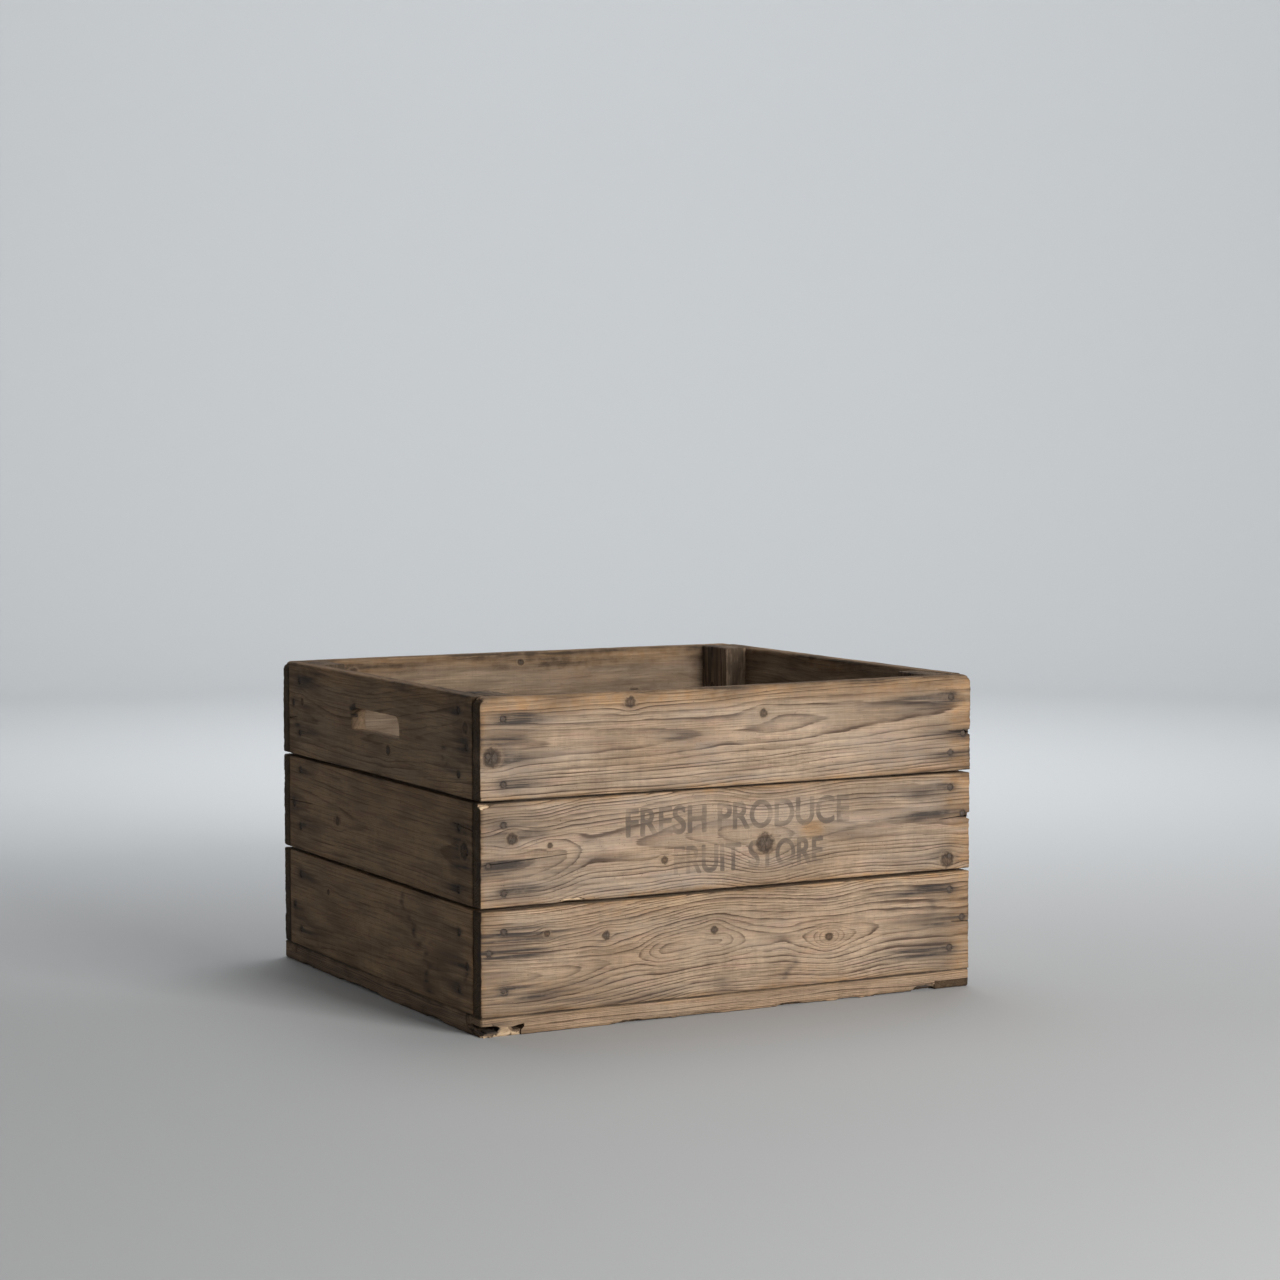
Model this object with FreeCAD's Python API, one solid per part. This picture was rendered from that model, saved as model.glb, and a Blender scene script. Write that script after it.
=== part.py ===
"""An open-topped field crate, nailed together from sawn softwood boards.

Four corner posts carry three courses of boards on each side.  The long boards (front and back)
run over the ends of the short ones (left and right).  A flat frame of four strips, half-lapped at
its corners, is nailed up into the walls from below, and its inner edge is the ledge that the
floor boards lie on.  The two top boards of the short sides have a hand slot.

Units are millimetres.  The origin is the middle of the crate's footprint, on the ground.
+X runs along the front, from left to right, +Y from front to back, and +Z up.
"""

import FreeCAD, Part
import os

from FreeCAD import Vector

# ---- Driving dimensions -----------------------------------------------------------------------

BOX_LENGTH = 500.0  # outside, along X
BOX_WIDTH = 445.0  # outside, along Y
WALL_T = 15.0  # thickness of every wall board
STRIP_H = 17.0  # height of the base frame
COURSES = ("lower", "middle", "top")
COURSE_H = {"lower": 91.0, "middle": 89.0, "top": 88.0}
COURSE_GAP = 2.5  # open joint between two courses

POST_X = 24.0  # post section along X
POST_Y = 48.0  # post section along Y

FLOOR_T = 12.0
FLOOR_COUNT = 5
FLOOR_GAP = 2.5  # open joint between two floor boards

STRIP_W = 30.0  # front and back strips of the base frame, along Y
RUNNER_W = 38.0  # left and right strips of the base frame, along X
LAP_Z = 8.0  # height at which the half laps part

SLOT_LENGTH = 107.0  # hand slot, end to end
SLOT_H = 23.5
SLOT_END_BULGE = 3.5  # how far each rounded end swells past the slot's straight edges
SLOT_CORNER_R = 4.0
SLOT_ABOVE_MIDDLE = 1.0  # slot centre above the board's centre line

ARRIS_R = 1.5  # rubbed long edges
RIM_CORNER_R = 8.0  # rubbed upper corners of the long top boards
RIM_R = 2.5  # rubbed upper edge of the top boards

NAIL_HEAD_R = 3.0
NAIL_HEAD_T = 1.2
NAIL_SHANK_R = 1.4
NAIL_POINT = 5.0  # length of the tapered point
NAIL_TIP_R = 0.2
NAIL_SUNK = 0.4  # how far a head lies below the wood
WALL_NAIL = 36.0  # lengths, from the top of the head to the point
FLOOR_NAIL = 25.0
BASE_NAIL = 45.0

# Wall nails: distance of each column from the board's end.
LONG_POST_COLUMN = 22.0
LONG_END_COLUMN = 8.0
SHORT_POST_COLUMN = 28.0
SHORT_END_COLUMN = 12.0

# Wall nails: heights above the board's lower edge, for the board's left and right end as seen
# from outside.  Each end has two nails in the post column, then one in the end column.
LONG_NAILS = {
    "lower": ((21.0, 72.0, 55.0), (21.0, 75.0, 48.0)),
    "middle": ((12.0, 70.0, 36.0), (12.0, 76.0, 51.0)),
    "top": ((13.0, 69.0, 38.0), (17.0, 68.0, 34.0)),
}
SHORT_NAILS = {
    "lower": ((17.0, 70.0, 40.0), (18.0, 68.0, 41.0)),
    "middle": ((23.0, 78.0, 44.0), (11.0, 65.0, 46.0)),
    "top": ((22.0, 72.0, 50.0), (19.0, 74.0, 44.0)),
}

# Floor and base nails.
FLOOR_END_NAIL = 11.5  # from a floor board's end
FLOOR_EDGE_NAIL = 7.5  # from the outer edge of the first and last floor board
FLOOR_EDGE_SPACING = 140.0
BASE_LONG_SPACING = 120.0  # four nails along the front and back strips
BASE_SHORT_SPACING = 130.0  # three nails along each runner
LAP_NAIL_X = 30.0  # the nail through each half lap, from the crate's outer faces
LAP_NAIL_Y = 22.5

# ---- Worked-out dimensions --------------------------------------------------------------------

HALF_X = BOX_LENGTH / 2
HALF_Y = BOX_WIDTH / 2
SHORT_LENGTH = BOX_WIDTH - 2 * WALL_T
INNER_X = HALF_X - WALL_T
INNER_Y = HALF_Y - WALL_T
FLOOR_TOP = STRIP_H + FLOOR_T
FLOOR_W = (2 * INNER_Y - (FLOOR_COUNT - 1) * FLOOR_GAP) / FLOOR_COUNT

COURSE_Z = {}
next_z = STRIP_H
for course in COURSES:
    COURSE_Z[course] = next_z
    next_z += COURSE_H[course] + COURSE_GAP
BOX_HEIGHT = next_z - COURSE_GAP

# Each side is modelled as the front and turned about Z: name, angle, whether it is a long side.
SIDES = (
    ("front", 0.0, True),
    ("back", 180.0, True),
    ("left", -90.0, False),
    ("right", 90.0, False),
)

ALONG_X = Vector(1, 0, 0)
ALONG_Y = Vector(0, 1, 0)
UP = Vector(0, 0, 1)
TOUCH = 1e-6  # two places closer than this are the same


# ---- Helpers ----------------------------------------------------------------------------------


def block(low, high):
    """A box between two corners."""
    size = Vector(*high) - Vector(*low)
    return Part.makeBox(size.x, size.y, size.z, Vector(*low))


def edges_along(shape, axis, keep=lambda middle: True):
    """The straight edges of a shape that run along one axis and whose middle passes a test."""
    found = []
    for edge in shape.Edges:
        start, end = edge.Vertexes[0].Point, edge.Vertexes[-1].Point
        run = end - start
        along = abs(run.dot(axis))
        if run.Length > 0 and run.Length - along < TOUCH and keep((start + end) / 2):
            found.append(edge)
    return found


def turned(shape, angle):
    """A copy of a shape turned about the vertical axis through the origin."""
    copy = shape.copy()
    copy.rotate(Vector(0, 0, 0), UP, angle)
    return copy


def nail(length):
    """A flat-headed wire nail that points down -Z, the top of its head at the origin."""
    head = Part.makeCylinder(NAIL_HEAD_R, NAIL_HEAD_T, Vector(0, 0, -NAIL_HEAD_T))
    shank_end = length - NAIL_POINT
    shank = Part.makeCylinder(NAIL_SHANK_R, shank_end, Vector(0, 0, -shank_end))
    point = Part.makeCone(NAIL_TIP_R, NAIL_SHANK_R, NAIL_POINT, Vector(0, 0, -length))
    return head.fuse([shank, point]).removeSplitter()


def driven(place, direction, length):
    """A nail driven at a point of the surface, and the hole that it fills with its sunk head."""
    turn = FreeCAD.Rotation(-UP, direction)
    body = nail(length)
    body.Placement = FreeCAD.Placement(place + direction * NAIL_SUNK, turn)
    mouth = Part.makeCylinder(NAIL_HEAD_R, 2 * NAIL_SUNK, Vector(0, 0, -NAIL_SUNK))
    mouth.Placement = FreeCAD.Placement(place, turn)
    return body, body.fuse(mouth)


# ---- Wooden pieces ----------------------------------------------------------------------------


def hand_slot(centre_z):
    """The slot's cutter: straight edges, ends that swell a little, and small round corners."""
    half, rise = SLOT_LENGTH / 2 - SLOT_END_BULGE, SLOT_H / 2
    corners = [
        Vector(-half, 0, -rise),
        Vector(half, 0, -rise),
        Vector(half, 0, rise),
        Vector(-half, 0, rise),
    ]
    right = Vector(SLOT_LENGTH / 2, 0, 0)
    left = Vector(-SLOT_LENGTH / 2, 0, 0)
    outline = Part.Wire(
        [
            Part.LineSegment(corners[0], corners[1]).toShape(),
            Part.Arc(corners[1], right, corners[2]).toShape(),
            Part.LineSegment(corners[2], corners[3]).toShape(),
            Part.Arc(corners[3], left, corners[0]).toShape(),
        ]
    )
    cutter = Part.Face(outline).extrude(Vector(0, 3 * WALL_T, 0))
    cutter = cutter.makeFillet(SLOT_CORNER_R, edges_along(cutter, ALONG_Y))
    cutter.translate(Vector(0, -HALF_X - WALL_T, centre_z))
    return cutter


def wall_board(course, is_long):
    """One wall board in the front's place: its outer face looks along -Y."""
    length = BOX_LENGTH if is_long else SHORT_LENGTH
    outer_y = -HALF_Y if is_long else -HALF_X
    low_z = COURSE_Z[course]
    high_z = low_z + COURSE_H[course]
    board = block((-length / 2, outer_y, low_z), (length / 2, outer_y + WALL_T, high_z))
    is_top = course == "top"

    def at_rim(middle):
        return is_top and middle.z > high_z - TOUCH

    def below_rim(middle):
        return not at_rim(middle)

    board = board.makeFillet(ARRIS_R, edges_along(board, ALONG_X, below_rim))
    if is_top and is_long:
        board = board.makeFillet(RIM_CORNER_R, edges_along(board, ALONG_Y, at_rim))
    if is_top:
        board = board.makeFillet(RIM_R, edges_along(board, ALONG_X, at_rim))
    if is_top and not is_long:
        board = board.cut(hand_slot((low_z + high_z) / 2 + SLOT_ABOVE_MIDDLE))
    return board


def post(sign_x, sign_y):
    """A corner post, from the floor to the rim, against both walls of its corner."""
    x = sorted((sign_x * INNER_X, sign_x * (INNER_X - POST_X)))
    y = sorted((sign_y * INNER_Y, sign_y * (INNER_Y - POST_Y)))
    body = block((x[0], y[0], FLOOR_TOP), (x[1], y[1], BOX_HEIGHT))

    def at_inner_corner(middle):
        return abs(middle.x) < INNER_X - POST_X / 2 and abs(middle.y) < INNER_Y - POST_Y / 2

    return body.makeFillet(ARRIS_R, edges_along(body, UP, at_inner_corner))


def floor_board(index):
    """One floor board, counted from the front."""
    low_y = -INNER_Y + index * (FLOOR_W + FLOOR_GAP)
    body = block((-INNER_X, low_y, STRIP_H), (INNER_X, low_y + FLOOR_W, FLOOR_TOP))
    return body.makeFillet(ARRIS_R, edges_along(body, ALONG_X))


def base_strip():
    """The front strip of the base frame: the upper half of both laps belongs to it."""
    body = block((-HALF_X, -HALF_Y, 0), (HALF_X, -HALF_Y + STRIP_W, STRIP_H))
    for end in (-HALF_X, HALF_X - RUNNER_W):
        body = body.cut(block((end, -HALF_Y, 0), (end + RUNNER_W, -HALF_Y + STRIP_W, LAP_Z)))
    return body


def base_runner():
    """The left strip of the base frame: its lower half runs under the front and back strips."""
    body = block((-HALF_X, -HALF_Y, 0), (-HALF_X + RUNNER_W, HALF_Y, STRIP_H))
    for end in (-HALF_Y, HALF_Y - STRIP_W):
        body = body.cut(block((-HALF_X, end, LAP_Z), (-HALF_X + RUNNER_W, end + STRIP_W, STRIP_H)))
    return body


# ---- Nails ------------------------------------------------------------------------------------


def wall_nails(is_long):
    """The eighteen nails of one side, in the front's place."""
    half = (BOX_LENGTH if is_long else SHORT_LENGTH) / 2
    outer_y = -HALF_Y if is_long else -HALF_X
    post_column = LONG_POST_COLUMN if is_long else SHORT_POST_COLUMN
    end_column = LONG_END_COLUMN if is_long else SHORT_END_COLUMN
    heights = LONG_NAILS if is_long else SHORT_NAILS
    places = []
    for course in COURSES:
        for sign, (low, high, middle) in zip((-1, 1), heights[course]):
            for column, height in ((post_column, low), (post_column, high), (end_column, middle)):
                places.append(Vector(sign * (half - column), outer_y, COURSE_Z[course] + height))
    return [driven(place, ALONG_Y, WALL_NAIL) for place in places]


def floor_nails():
    """Nails from inside, down through the floor boards into the ledge of the base frame."""
    places = []
    for index in range(FLOOR_COUNT):
        low_y = -INNER_Y + index * (FLOOR_W + FLOOR_GAP)
        clear_low = max(low_y, -INNER_Y + POST_Y)
        clear_high = min(low_y + FLOOR_W, INNER_Y - POST_Y)
        shares = (0.5,) if clear_high - clear_low < FLOOR_W / 2 else (0.2, 0.8)
        for share in shares:
            y = clear_low + share * (clear_high - clear_low)
            for sign in (-1, 1):
                places.append(Vector(sign * (INNER_X - FLOOR_END_NAIL), y, FLOOR_TOP))
    for sign in (-1, 1):
        for step in (-1, 0, 1):
            edge_y = sign * (INNER_Y - FLOOR_EDGE_NAIL)
            places.append(Vector(step * FLOOR_EDGE_SPACING, edge_y, FLOOR_TOP))
    return [driven(place, -UP, FLOOR_NAIL) for place in places]


def base_nails():
    """Nails from below: through the strips into the walls, and through the laps into the posts."""
    wall_x = HALF_X - WALL_T / 2
    wall_y = HALF_Y - WALL_T / 2
    places = []
    for sign in (-1, 1):
        for step in (-1.5, -0.5, 0.5, 1.5):
            places.append(Vector(step * BASE_LONG_SPACING, sign * wall_y, 0))
        for step in (-1, 0, 1):
            places.append(Vector(sign * wall_x, step * BASE_SHORT_SPACING, 0))
        for other in (-1, 1):
            lap_x = sign * (HALF_X - LAP_NAIL_X)
            lap_y = other * (HALF_Y - LAP_NAIL_Y)
            places.append(Vector(lap_x, lap_y, 0))
    return [driven(place, UP, BASE_NAIL) for place in places]


# ---- Assembly ---------------------------------------------------------------------------------


def wooden_pieces():
    """Every wooden piece before its nail holes are made, by node name."""
    pieces = {}
    for side, angle, is_long in SIDES:
        for course in COURSES:
            pieces[f"board_{side}_{course}"] = turned(wall_board(course, is_long), angle)
    for name_y, sign_y in (("front", -1), ("back", 1)):
        for name_x, sign_x in (("left", -1), ("right", 1)):
            pieces[f"post_{name_y}_{name_x}"] = post(sign_x, sign_y)
    for index in range(FLOOR_COUNT):
        pieces[f"floor_board_{index + 1}"] = floor_board(index)
    pieces["base_strip_front"] = base_strip()
    pieces["base_strip_back"] = turned(base_strip(), 180.0)
    pieces["base_runner_left"] = base_runner()
    pieces["base_runner_right"] = turned(base_runner(), 180.0)
    return pieces


def nail_groups():
    """Every group of nails and the holes that they fill, by node name."""
    groups = {}
    for side, angle, is_long in SIDES:
        groups[f"nails_{side}"] = [
            (turned(body, angle), turned(hole, angle)) for body, hole in wall_nails(is_long)
        ]
    groups["nails_floor"] = floor_nails()
    groups["nails_base"] = base_nails()
    return groups


def with_holes(piece, holes):
    """A piece with the hole of every nail that goes into it."""
    met = [hole for hole in holes if piece.BoundBox.intersect(hole.BoundBox)]
    return piece.cut(met) if met else piece


def main():
    os.makedirs("parts", exist_ok=True)
    groups = nail_groups()
    holes = [hole for group in groups.values() for _, hole in group]
    for name, piece in wooden_pieces().items():
        with_holes(piece, holes).exportStep(f"parts/{name}.step")
    for name, group in groups.items():
        Part.makeCompound([body for body, _ in group]).exportStep(f"parts/{name}.step")


main()
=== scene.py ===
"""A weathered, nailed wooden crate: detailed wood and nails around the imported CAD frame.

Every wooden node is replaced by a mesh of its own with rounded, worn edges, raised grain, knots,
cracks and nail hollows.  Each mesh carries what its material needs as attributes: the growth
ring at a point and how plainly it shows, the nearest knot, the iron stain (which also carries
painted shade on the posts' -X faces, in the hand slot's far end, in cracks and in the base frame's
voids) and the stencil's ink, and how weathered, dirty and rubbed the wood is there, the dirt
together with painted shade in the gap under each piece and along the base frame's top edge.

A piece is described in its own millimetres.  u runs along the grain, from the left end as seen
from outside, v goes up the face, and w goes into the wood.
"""

import math
from collections import namedtuple

import bpy
import numpy as np
from mathutils import Euler, Matrix, Vector

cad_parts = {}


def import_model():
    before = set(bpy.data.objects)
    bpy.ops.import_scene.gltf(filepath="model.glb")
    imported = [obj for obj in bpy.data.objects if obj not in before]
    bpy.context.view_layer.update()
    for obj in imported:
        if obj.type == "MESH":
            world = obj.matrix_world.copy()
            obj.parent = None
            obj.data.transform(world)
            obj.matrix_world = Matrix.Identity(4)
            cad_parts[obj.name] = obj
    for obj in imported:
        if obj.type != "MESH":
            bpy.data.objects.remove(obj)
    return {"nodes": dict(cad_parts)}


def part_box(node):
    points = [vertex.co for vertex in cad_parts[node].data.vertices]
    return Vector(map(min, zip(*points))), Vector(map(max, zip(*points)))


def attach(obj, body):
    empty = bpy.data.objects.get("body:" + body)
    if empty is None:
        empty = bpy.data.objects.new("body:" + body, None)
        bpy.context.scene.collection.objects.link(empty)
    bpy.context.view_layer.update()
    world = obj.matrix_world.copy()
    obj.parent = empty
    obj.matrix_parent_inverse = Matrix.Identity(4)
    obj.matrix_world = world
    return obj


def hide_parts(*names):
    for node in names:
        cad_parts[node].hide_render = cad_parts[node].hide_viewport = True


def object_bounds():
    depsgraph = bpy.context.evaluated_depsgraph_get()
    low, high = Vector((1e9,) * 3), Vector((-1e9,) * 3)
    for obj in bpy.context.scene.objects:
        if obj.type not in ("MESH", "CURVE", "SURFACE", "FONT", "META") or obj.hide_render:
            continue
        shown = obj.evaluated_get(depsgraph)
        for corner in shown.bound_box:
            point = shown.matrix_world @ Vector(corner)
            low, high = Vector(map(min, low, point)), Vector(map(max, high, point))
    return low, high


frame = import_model()
cad_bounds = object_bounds()

MM = 0.001
AXES = {"X": (1, 0, 0), "Y": (0, 1, 0), "Z": (0, 0, 1)}

# ---- Sizes that the frame gives -----------------------------------------------------------------


def size_mm(node):
    """A node's size along X, Y and Z, in millimetres."""
    low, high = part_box(node)
    return (high - low) / MM


STRIP_W = size_mm("base_strip_front").y
RUNNER_W = size_mm("base_runner_left").x
# The frame's boxes don't show these: the height where the half laps meet, the hand slot, and the
# rubbed upper corners of the long top boards.
LAP_Z = 8.0
SLOT = {"length": 107.0, "height": 23.5, "bulge": 3.5, "corner": 5.0, "above_middle": 1.0}
RIM_CORNER_R = 8.0

# ---- Noise and curves ---------------------------------------------------------------------------


def waves(seed, size, count=10):
    """Smooth noise of about -1 to 1, a sum of sine waves; size is a swell's length along u, v, w."""
    rng = np.random.default_rng(seed)
    turns = rng.normal(size=(count, 3)) * 2.5 / np.array(size, float)
    phases = rng.uniform(0, 2 * math.pi, count)

    def noise(points):
        return np.sin(points @ turns.T + phases).sum(1) / math.sqrt(count)

    return noise


def curve(points):
    """A smooth curve through a few (place, value) points."""
    places, values = np.array(points, float).T
    slopes = np.gradient(values, places)

    def value_at(place):
        i = np.clip(np.searchsorted(places, place) - 1, 0, len(places) - 2)
        gap = places[i + 1] - places[i]
        t = np.clip((place - places[i]) / gap, 0, 1)
        start = values[i] * (1 + 2 * t) + gap * slopes[i] * t
        finish = values[i + 1] * (3 - 2 * t) - gap * slopes[i + 1] * (1 - t)
        return start * (1 - t) ** 2 + finish * t**2

    return value_at


def step(low, high, value):
    """0 below low, 1 above high, smooth between."""
    t = np.clip((value - low) / (high - low), 0, 1)
    return t * t * (3 - 2 * t)


def bell(value, width):
    return np.exp(-((value / width) ** 2))


# ---- Description of a piece ---------------------------------------------------------------------

# A knot: its centre, its radius, how far it pushes the grain aside (in radii), how many growth
# rings close round it as an eye, and its height over its width.
Knot = namedtuple("Knot", "u v radius reach eye tall", defaults=(2.2, 0.0, 1.0))
# A crack from one end: its height on the face, its length, how far it climbs, and its width.
Crack = namedtuple("Crack", "end v length climb width", defaults=(0.0, 0.7))
# A chip: its centre and reach along u, v and w, how far it pushes the surface in along each, and
# how fresh the wood in it is.
Chip = namedtuple("Chip", "centre reach push fresh", defaults=(0.0,))
# A fresh chip is written as this much more than a fully rubbed edge.
FRESH = 2.0

# What a piece's marks may change: the width of the band where the rings run flat; its marks; its
# shape; the lattice's gaps; how grey, dirty and warm it is; and how its rings and ends show.
# Each eye, stain or rub is (u, v, reach along u, reach along v, amount); some stains are painted
# shade, and an eye's amount is the number of growth rings that it takes away at its middle.
LOOK = dict(
    spread=60.0, knots=(), eyes=(), cracks=(), chips=(), stains_and_shade=(), rubs=(), stencil=(),
    slot=False, corner_r=0.0, rim_r=0.0, edge_r=0.8, steps=(2.6, 0.9, 1.5),
    grey=0.45, dirt_and_shade=0.1, warm=0.3, inside_dirt=0.25, warm_ends=(0.4, 0.4),
    clear=1.0, end_dark=1.0, relief=0.12, material="wall", slot_name="wall_boards",
)


class Piece:
    """One wooden piece: where it lies, how its grain runs, and its marks."""

    def __init__(self, node, along, up, seed, **marks):
        self.node = node
        self.seed = seed
        self.u_axis = self.axis(along)
        self.v_axis = self.axis(up)
        self.w_axis = self.v_axis.cross(self.u_axis)
        low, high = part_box(node)
        self.origin = Vector()
        self.size = []
        for axis in (self.u_axis, self.v_axis, self.w_axis):
            ends = sorted((low.dot(axis), high.dot(axis)))
            self.origin += axis * ends[0]
            self.size.append((ends[1] - ends[0]) / MM)
        look = {**LOOK, **self.drawn_look(), **marks}
        self.axis_v = curve(look.pop("axis"))
        self.count = curve(look.pop("count"))
        for name, value in look.items():
            setattr(self, name, value)
        self.holes = []
        self.nails = []

    def drawn_look(self):
        """What the seed settles about the wood: where its pith runs and how its rings lie round it."""
        rng = np.random.default_rng(self.seed)
        length, height, depth = self.size
        places = np.linspace(0, length, 5)
        middle = height * rng.uniform(0.3, 0.7)
        return dict(
            axis=[(place, middle + rng.uniform(-0.1, 0.1) * height) for place in places],
            count=np.column_stack([places, np.cumsum(rng.uniform(-1.2, 1.6, 5))]),
            ring=rng.uniform(2.6, 3.6), pith=depth + rng.uniform(2, 14), lean=rng.uniform(-0.02, 0.02),
            bow=(rng.uniform(-0.4, 0.4), rng.uniform(-0.4, 0.4)),
        )

    @staticmethod
    def axis(name):
        return Vector(AXES[name[1]]) * (1 if name[0] == "+" else -1)

    def to_local(self, world):
        """A point of the frame, in metres, as (u, v, w) in millimetres."""
        offset = (Vector(world) - self.origin) / MM
        return [offset.dot(a) for a in (self.u_axis, self.v_axis, self.w_axis)]

    def to_world(self, points):
        """(u, v, w) rows in millimetres as rows in metres."""
        axes = np.array([self.u_axis[:], self.v_axis[:], self.w_axis[:]])
        return np.array(self.origin[:]) + MM * (points @ axes)


# ---- The lattice that every wooden mesh starts from ------------------------------------------------

EDGE_SAMPLES = (0.35, 0.8, 1.4, 2.2, 3.2)
# The gap between samples over the fine stretches.
FINE_GAP = 1.1


def spaced(length, gap, fine, cuts):
    """Sample places along one side: even, closer near both ends and over the fine stretches."""
    kept = np.array(sorted({0.0, length, *[c for c in cuts if 0 < c < length]}))
    edges = [e for s in EDGE_SAMPLES for e in (s, length - s)]
    dense = [p for low, high in fine for p in np.arange(low, high, FINE_GAP)]
    plain = np.linspace(0, length, max(2, round(length / gap)) + 1)
    for places, nearest in ((edges, 0.3), (dense, 0.6 * FINE_GAP), (plain, 0.6 * gap)):
        for place in places:
            if 0 < place < length and np.abs(kept - place).min() > nearest:
                kept = np.append(kept, place)
    return np.sort(kept)


def shell(us, vs, ws, holes):
    """The closed quad surface of a block of lattice cells, less the cells inside the holes."""
    samples = (us, vs, ws)
    solid = np.zeros([len(s) + 1 for s in samples], bool)
    solid[1:-1, 1:-1, 1:-1] = True
    middles = np.meshgrid(*[(s[1:] + s[:-1]) / 2 for s in samples], indexing="ij")
    for hole in holes:
        inside = np.ones(middles[0].shape, bool)
        for middle, (low, high) in zip(middles, hole):
            inside &= (middle > low) & (middle < high)
        solid[1:-1, 1:-1, 1:-1] &= ~inside
    quads = []
    for axis in range(3):
        first, second = (axis + 1) % 3, (axis + 2) % 3
        below = np.moveaxis(solid, axis, 0)[:-1]
        above = np.moveaxis(solid, axis, 0)[1:]
        for exposed, order in ((below & ~above, (0, 1, 2, 3)), (above & ~below, (0, 3, 2, 1))):
            found = np.argwhere(np.moveaxis(exposed, 0, axis))
            corner = found - 1
            corner[:, axis] += 1
            ring = []
            for a, b in ((0, 0), (1, 0), (1, 1), (0, 1)):
                spot = corner.copy()
                spot[:, first] += a
                spot[:, second] += b
                ring.append(np.ravel_multi_index(spot.T, [len(s) for s in samples]))
            quads.append(np.array(ring)[list(order)].T)
    used, faces = np.unique(np.concatenate(quads), return_inverse=True)
    spots = np.unravel_index(used, [len(s) for s in samples])
    return np.column_stack([s[i] for s, i in zip(samples, spots)]), faces.reshape(-1, 4)


# ---- Grain, marks and wear, as fields over a piece ----------------------------------------------------


def knot_push(piece, p):
    """The heights at which a point's growth ring would lie if no knot had pushed it aside."""
    v = p[:, 1].copy()
    for knot in piece.knots:
        near = bell(p[:, 0] - knot.u, knot.reach * 1.5 * knot.radius)
        near = near * bell(p[:, 1] - knot.v, knot.reach * knot.radius)
        v -= 0.9 * near * (p[:, 1] - knot.v)
    return v


def ring_at(piece, p):
    """The growth ring at each point. Whole numbers are the hard dark lines between rings."""
    u = p[:, 0]
    v = knot_push(piece, p) + 0.9 * waves(piece.seed + 1, (80, 25, 30))(p)
    v += 0.17 * waves(piece.seed + 4, (24, 9, 12))(p)
    across = v - piece.axis_v(u)
    out = (np.hypot(across, piece.pith - p[:, 2]) - piece.pith) / piece.ring + piece.lean * across
    uneven = 0.26 * np.sin(1.3 * out + piece.seed) + 0.13 * np.sin(3.1 * out + 2 * piece.seed)
    at_axis = 0.26 * np.sin(piece.seed) + 0.13 * np.sin(2 * piece.seed)
    rings = piece.count(u) * bell(across, piece.spread) + out + uneven - at_axis
    for knot in piece.knots:
        if knot.eye:
            swell = bell(u - knot.u, 3.4 * knot.radius) * bell(p[:, 1] - knot.v, 1.9 * knot.radius)
            rings -= knot.eye * swell
    for u0, v0, reach_u, reach_v, rise in piece.eyes:
        rings -= rise * bell(u - u0, reach_u) * bell(p[:, 1] - v0, reach_v)
    return rings + 0.05 * waves(piece.seed + 2, (26, 8, 12))(p)


def latewood(rings):
    """0 in the soft part of a growth ring, rising to 1 at its hard outer edge."""
    part = rings % 1.0
    return step(0.4, 0.9, part) * (1 - step(0.94, 1.0, part))


def ring_clearness(piece, p):
    """How plainly the rings show: less inside the crate, and more in some stretches than in others."""
    inside = step(0.6, 0.9, p[:, 2] / piece.size[2]) if piece.slot_name == "wall_boards" else 0.0
    stretch = waves(piece.seed + 19, (70, 16, 20))(p)
    return piece.clear * np.clip(1.0 + 0.22 * stretch, 0.55, 1.4) * (1 - 0.6 * inside)


FAR_KNOT = 4.0


def knot_at(piece, p):
    """Each point's offset from the nearest knot and its distance, all in knot radii."""
    place = np.zeros((len(p), 3))
    place[:, 2] = FAR_KNOT
    for knot in piece.knots:
        offset = (p[:, :2] - (knot.u, knot.v)) / (knot.radius, knot.radius * knot.tall)
        far = np.hypot(offset[:, 0], offset[:, 1])
        near = far < place[:, 2]
        place[near, :2] = offset[near]
        place[near, 2] = far[near]
    return place


CRACK_DEPTH = 3.5
# Rows of the lattice this near a crack lean with it.
CRACK_PULL = 12.0


def crack_depth(piece, p):
    """How deep the cracks are at each point of the outer and inner faces."""
    depth = np.zeros(len(p))
    length = piece.size[0]
    for crack in piece.cracks:
        run = p[:, 0] if crack.end == "left" else length - p[:, 0]
        share = np.clip(run / crack.length, 0, 1)
        path = crack.v + crack.climb * share
        open_by = crack.width * np.sqrt(np.clip(1 - share, 0, 1))
        profile = np.clip(1 - np.abs(p[:, 1] - path) / (open_by + 0.05), 0, 1)
        depth = np.maximum(depth, CRACK_DEPTH * profile * (run < crack.length) * np.sqrt(1 - share))
    return depth


def crack_shift(piece, p):
    """Moves the lattice's rows so that they follow each crack's slope."""
    shift = np.zeros(len(p))
    for crack in piece.cracks:
        run = p[:, 0] if crack.end == "left" else piece.size[0] - p[:, 0]
        share = np.clip(run / crack.length, 0, 1)
        shift += crack.climb * share * np.clip(1 - np.abs(p[:, 1] - crack.v) / CRACK_PULL, 0, 1)
    return shift


# How far a nail's smear leans towards the middle of the board, per millimetre along it.
SMEAR_CLIMB = 0.06


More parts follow.
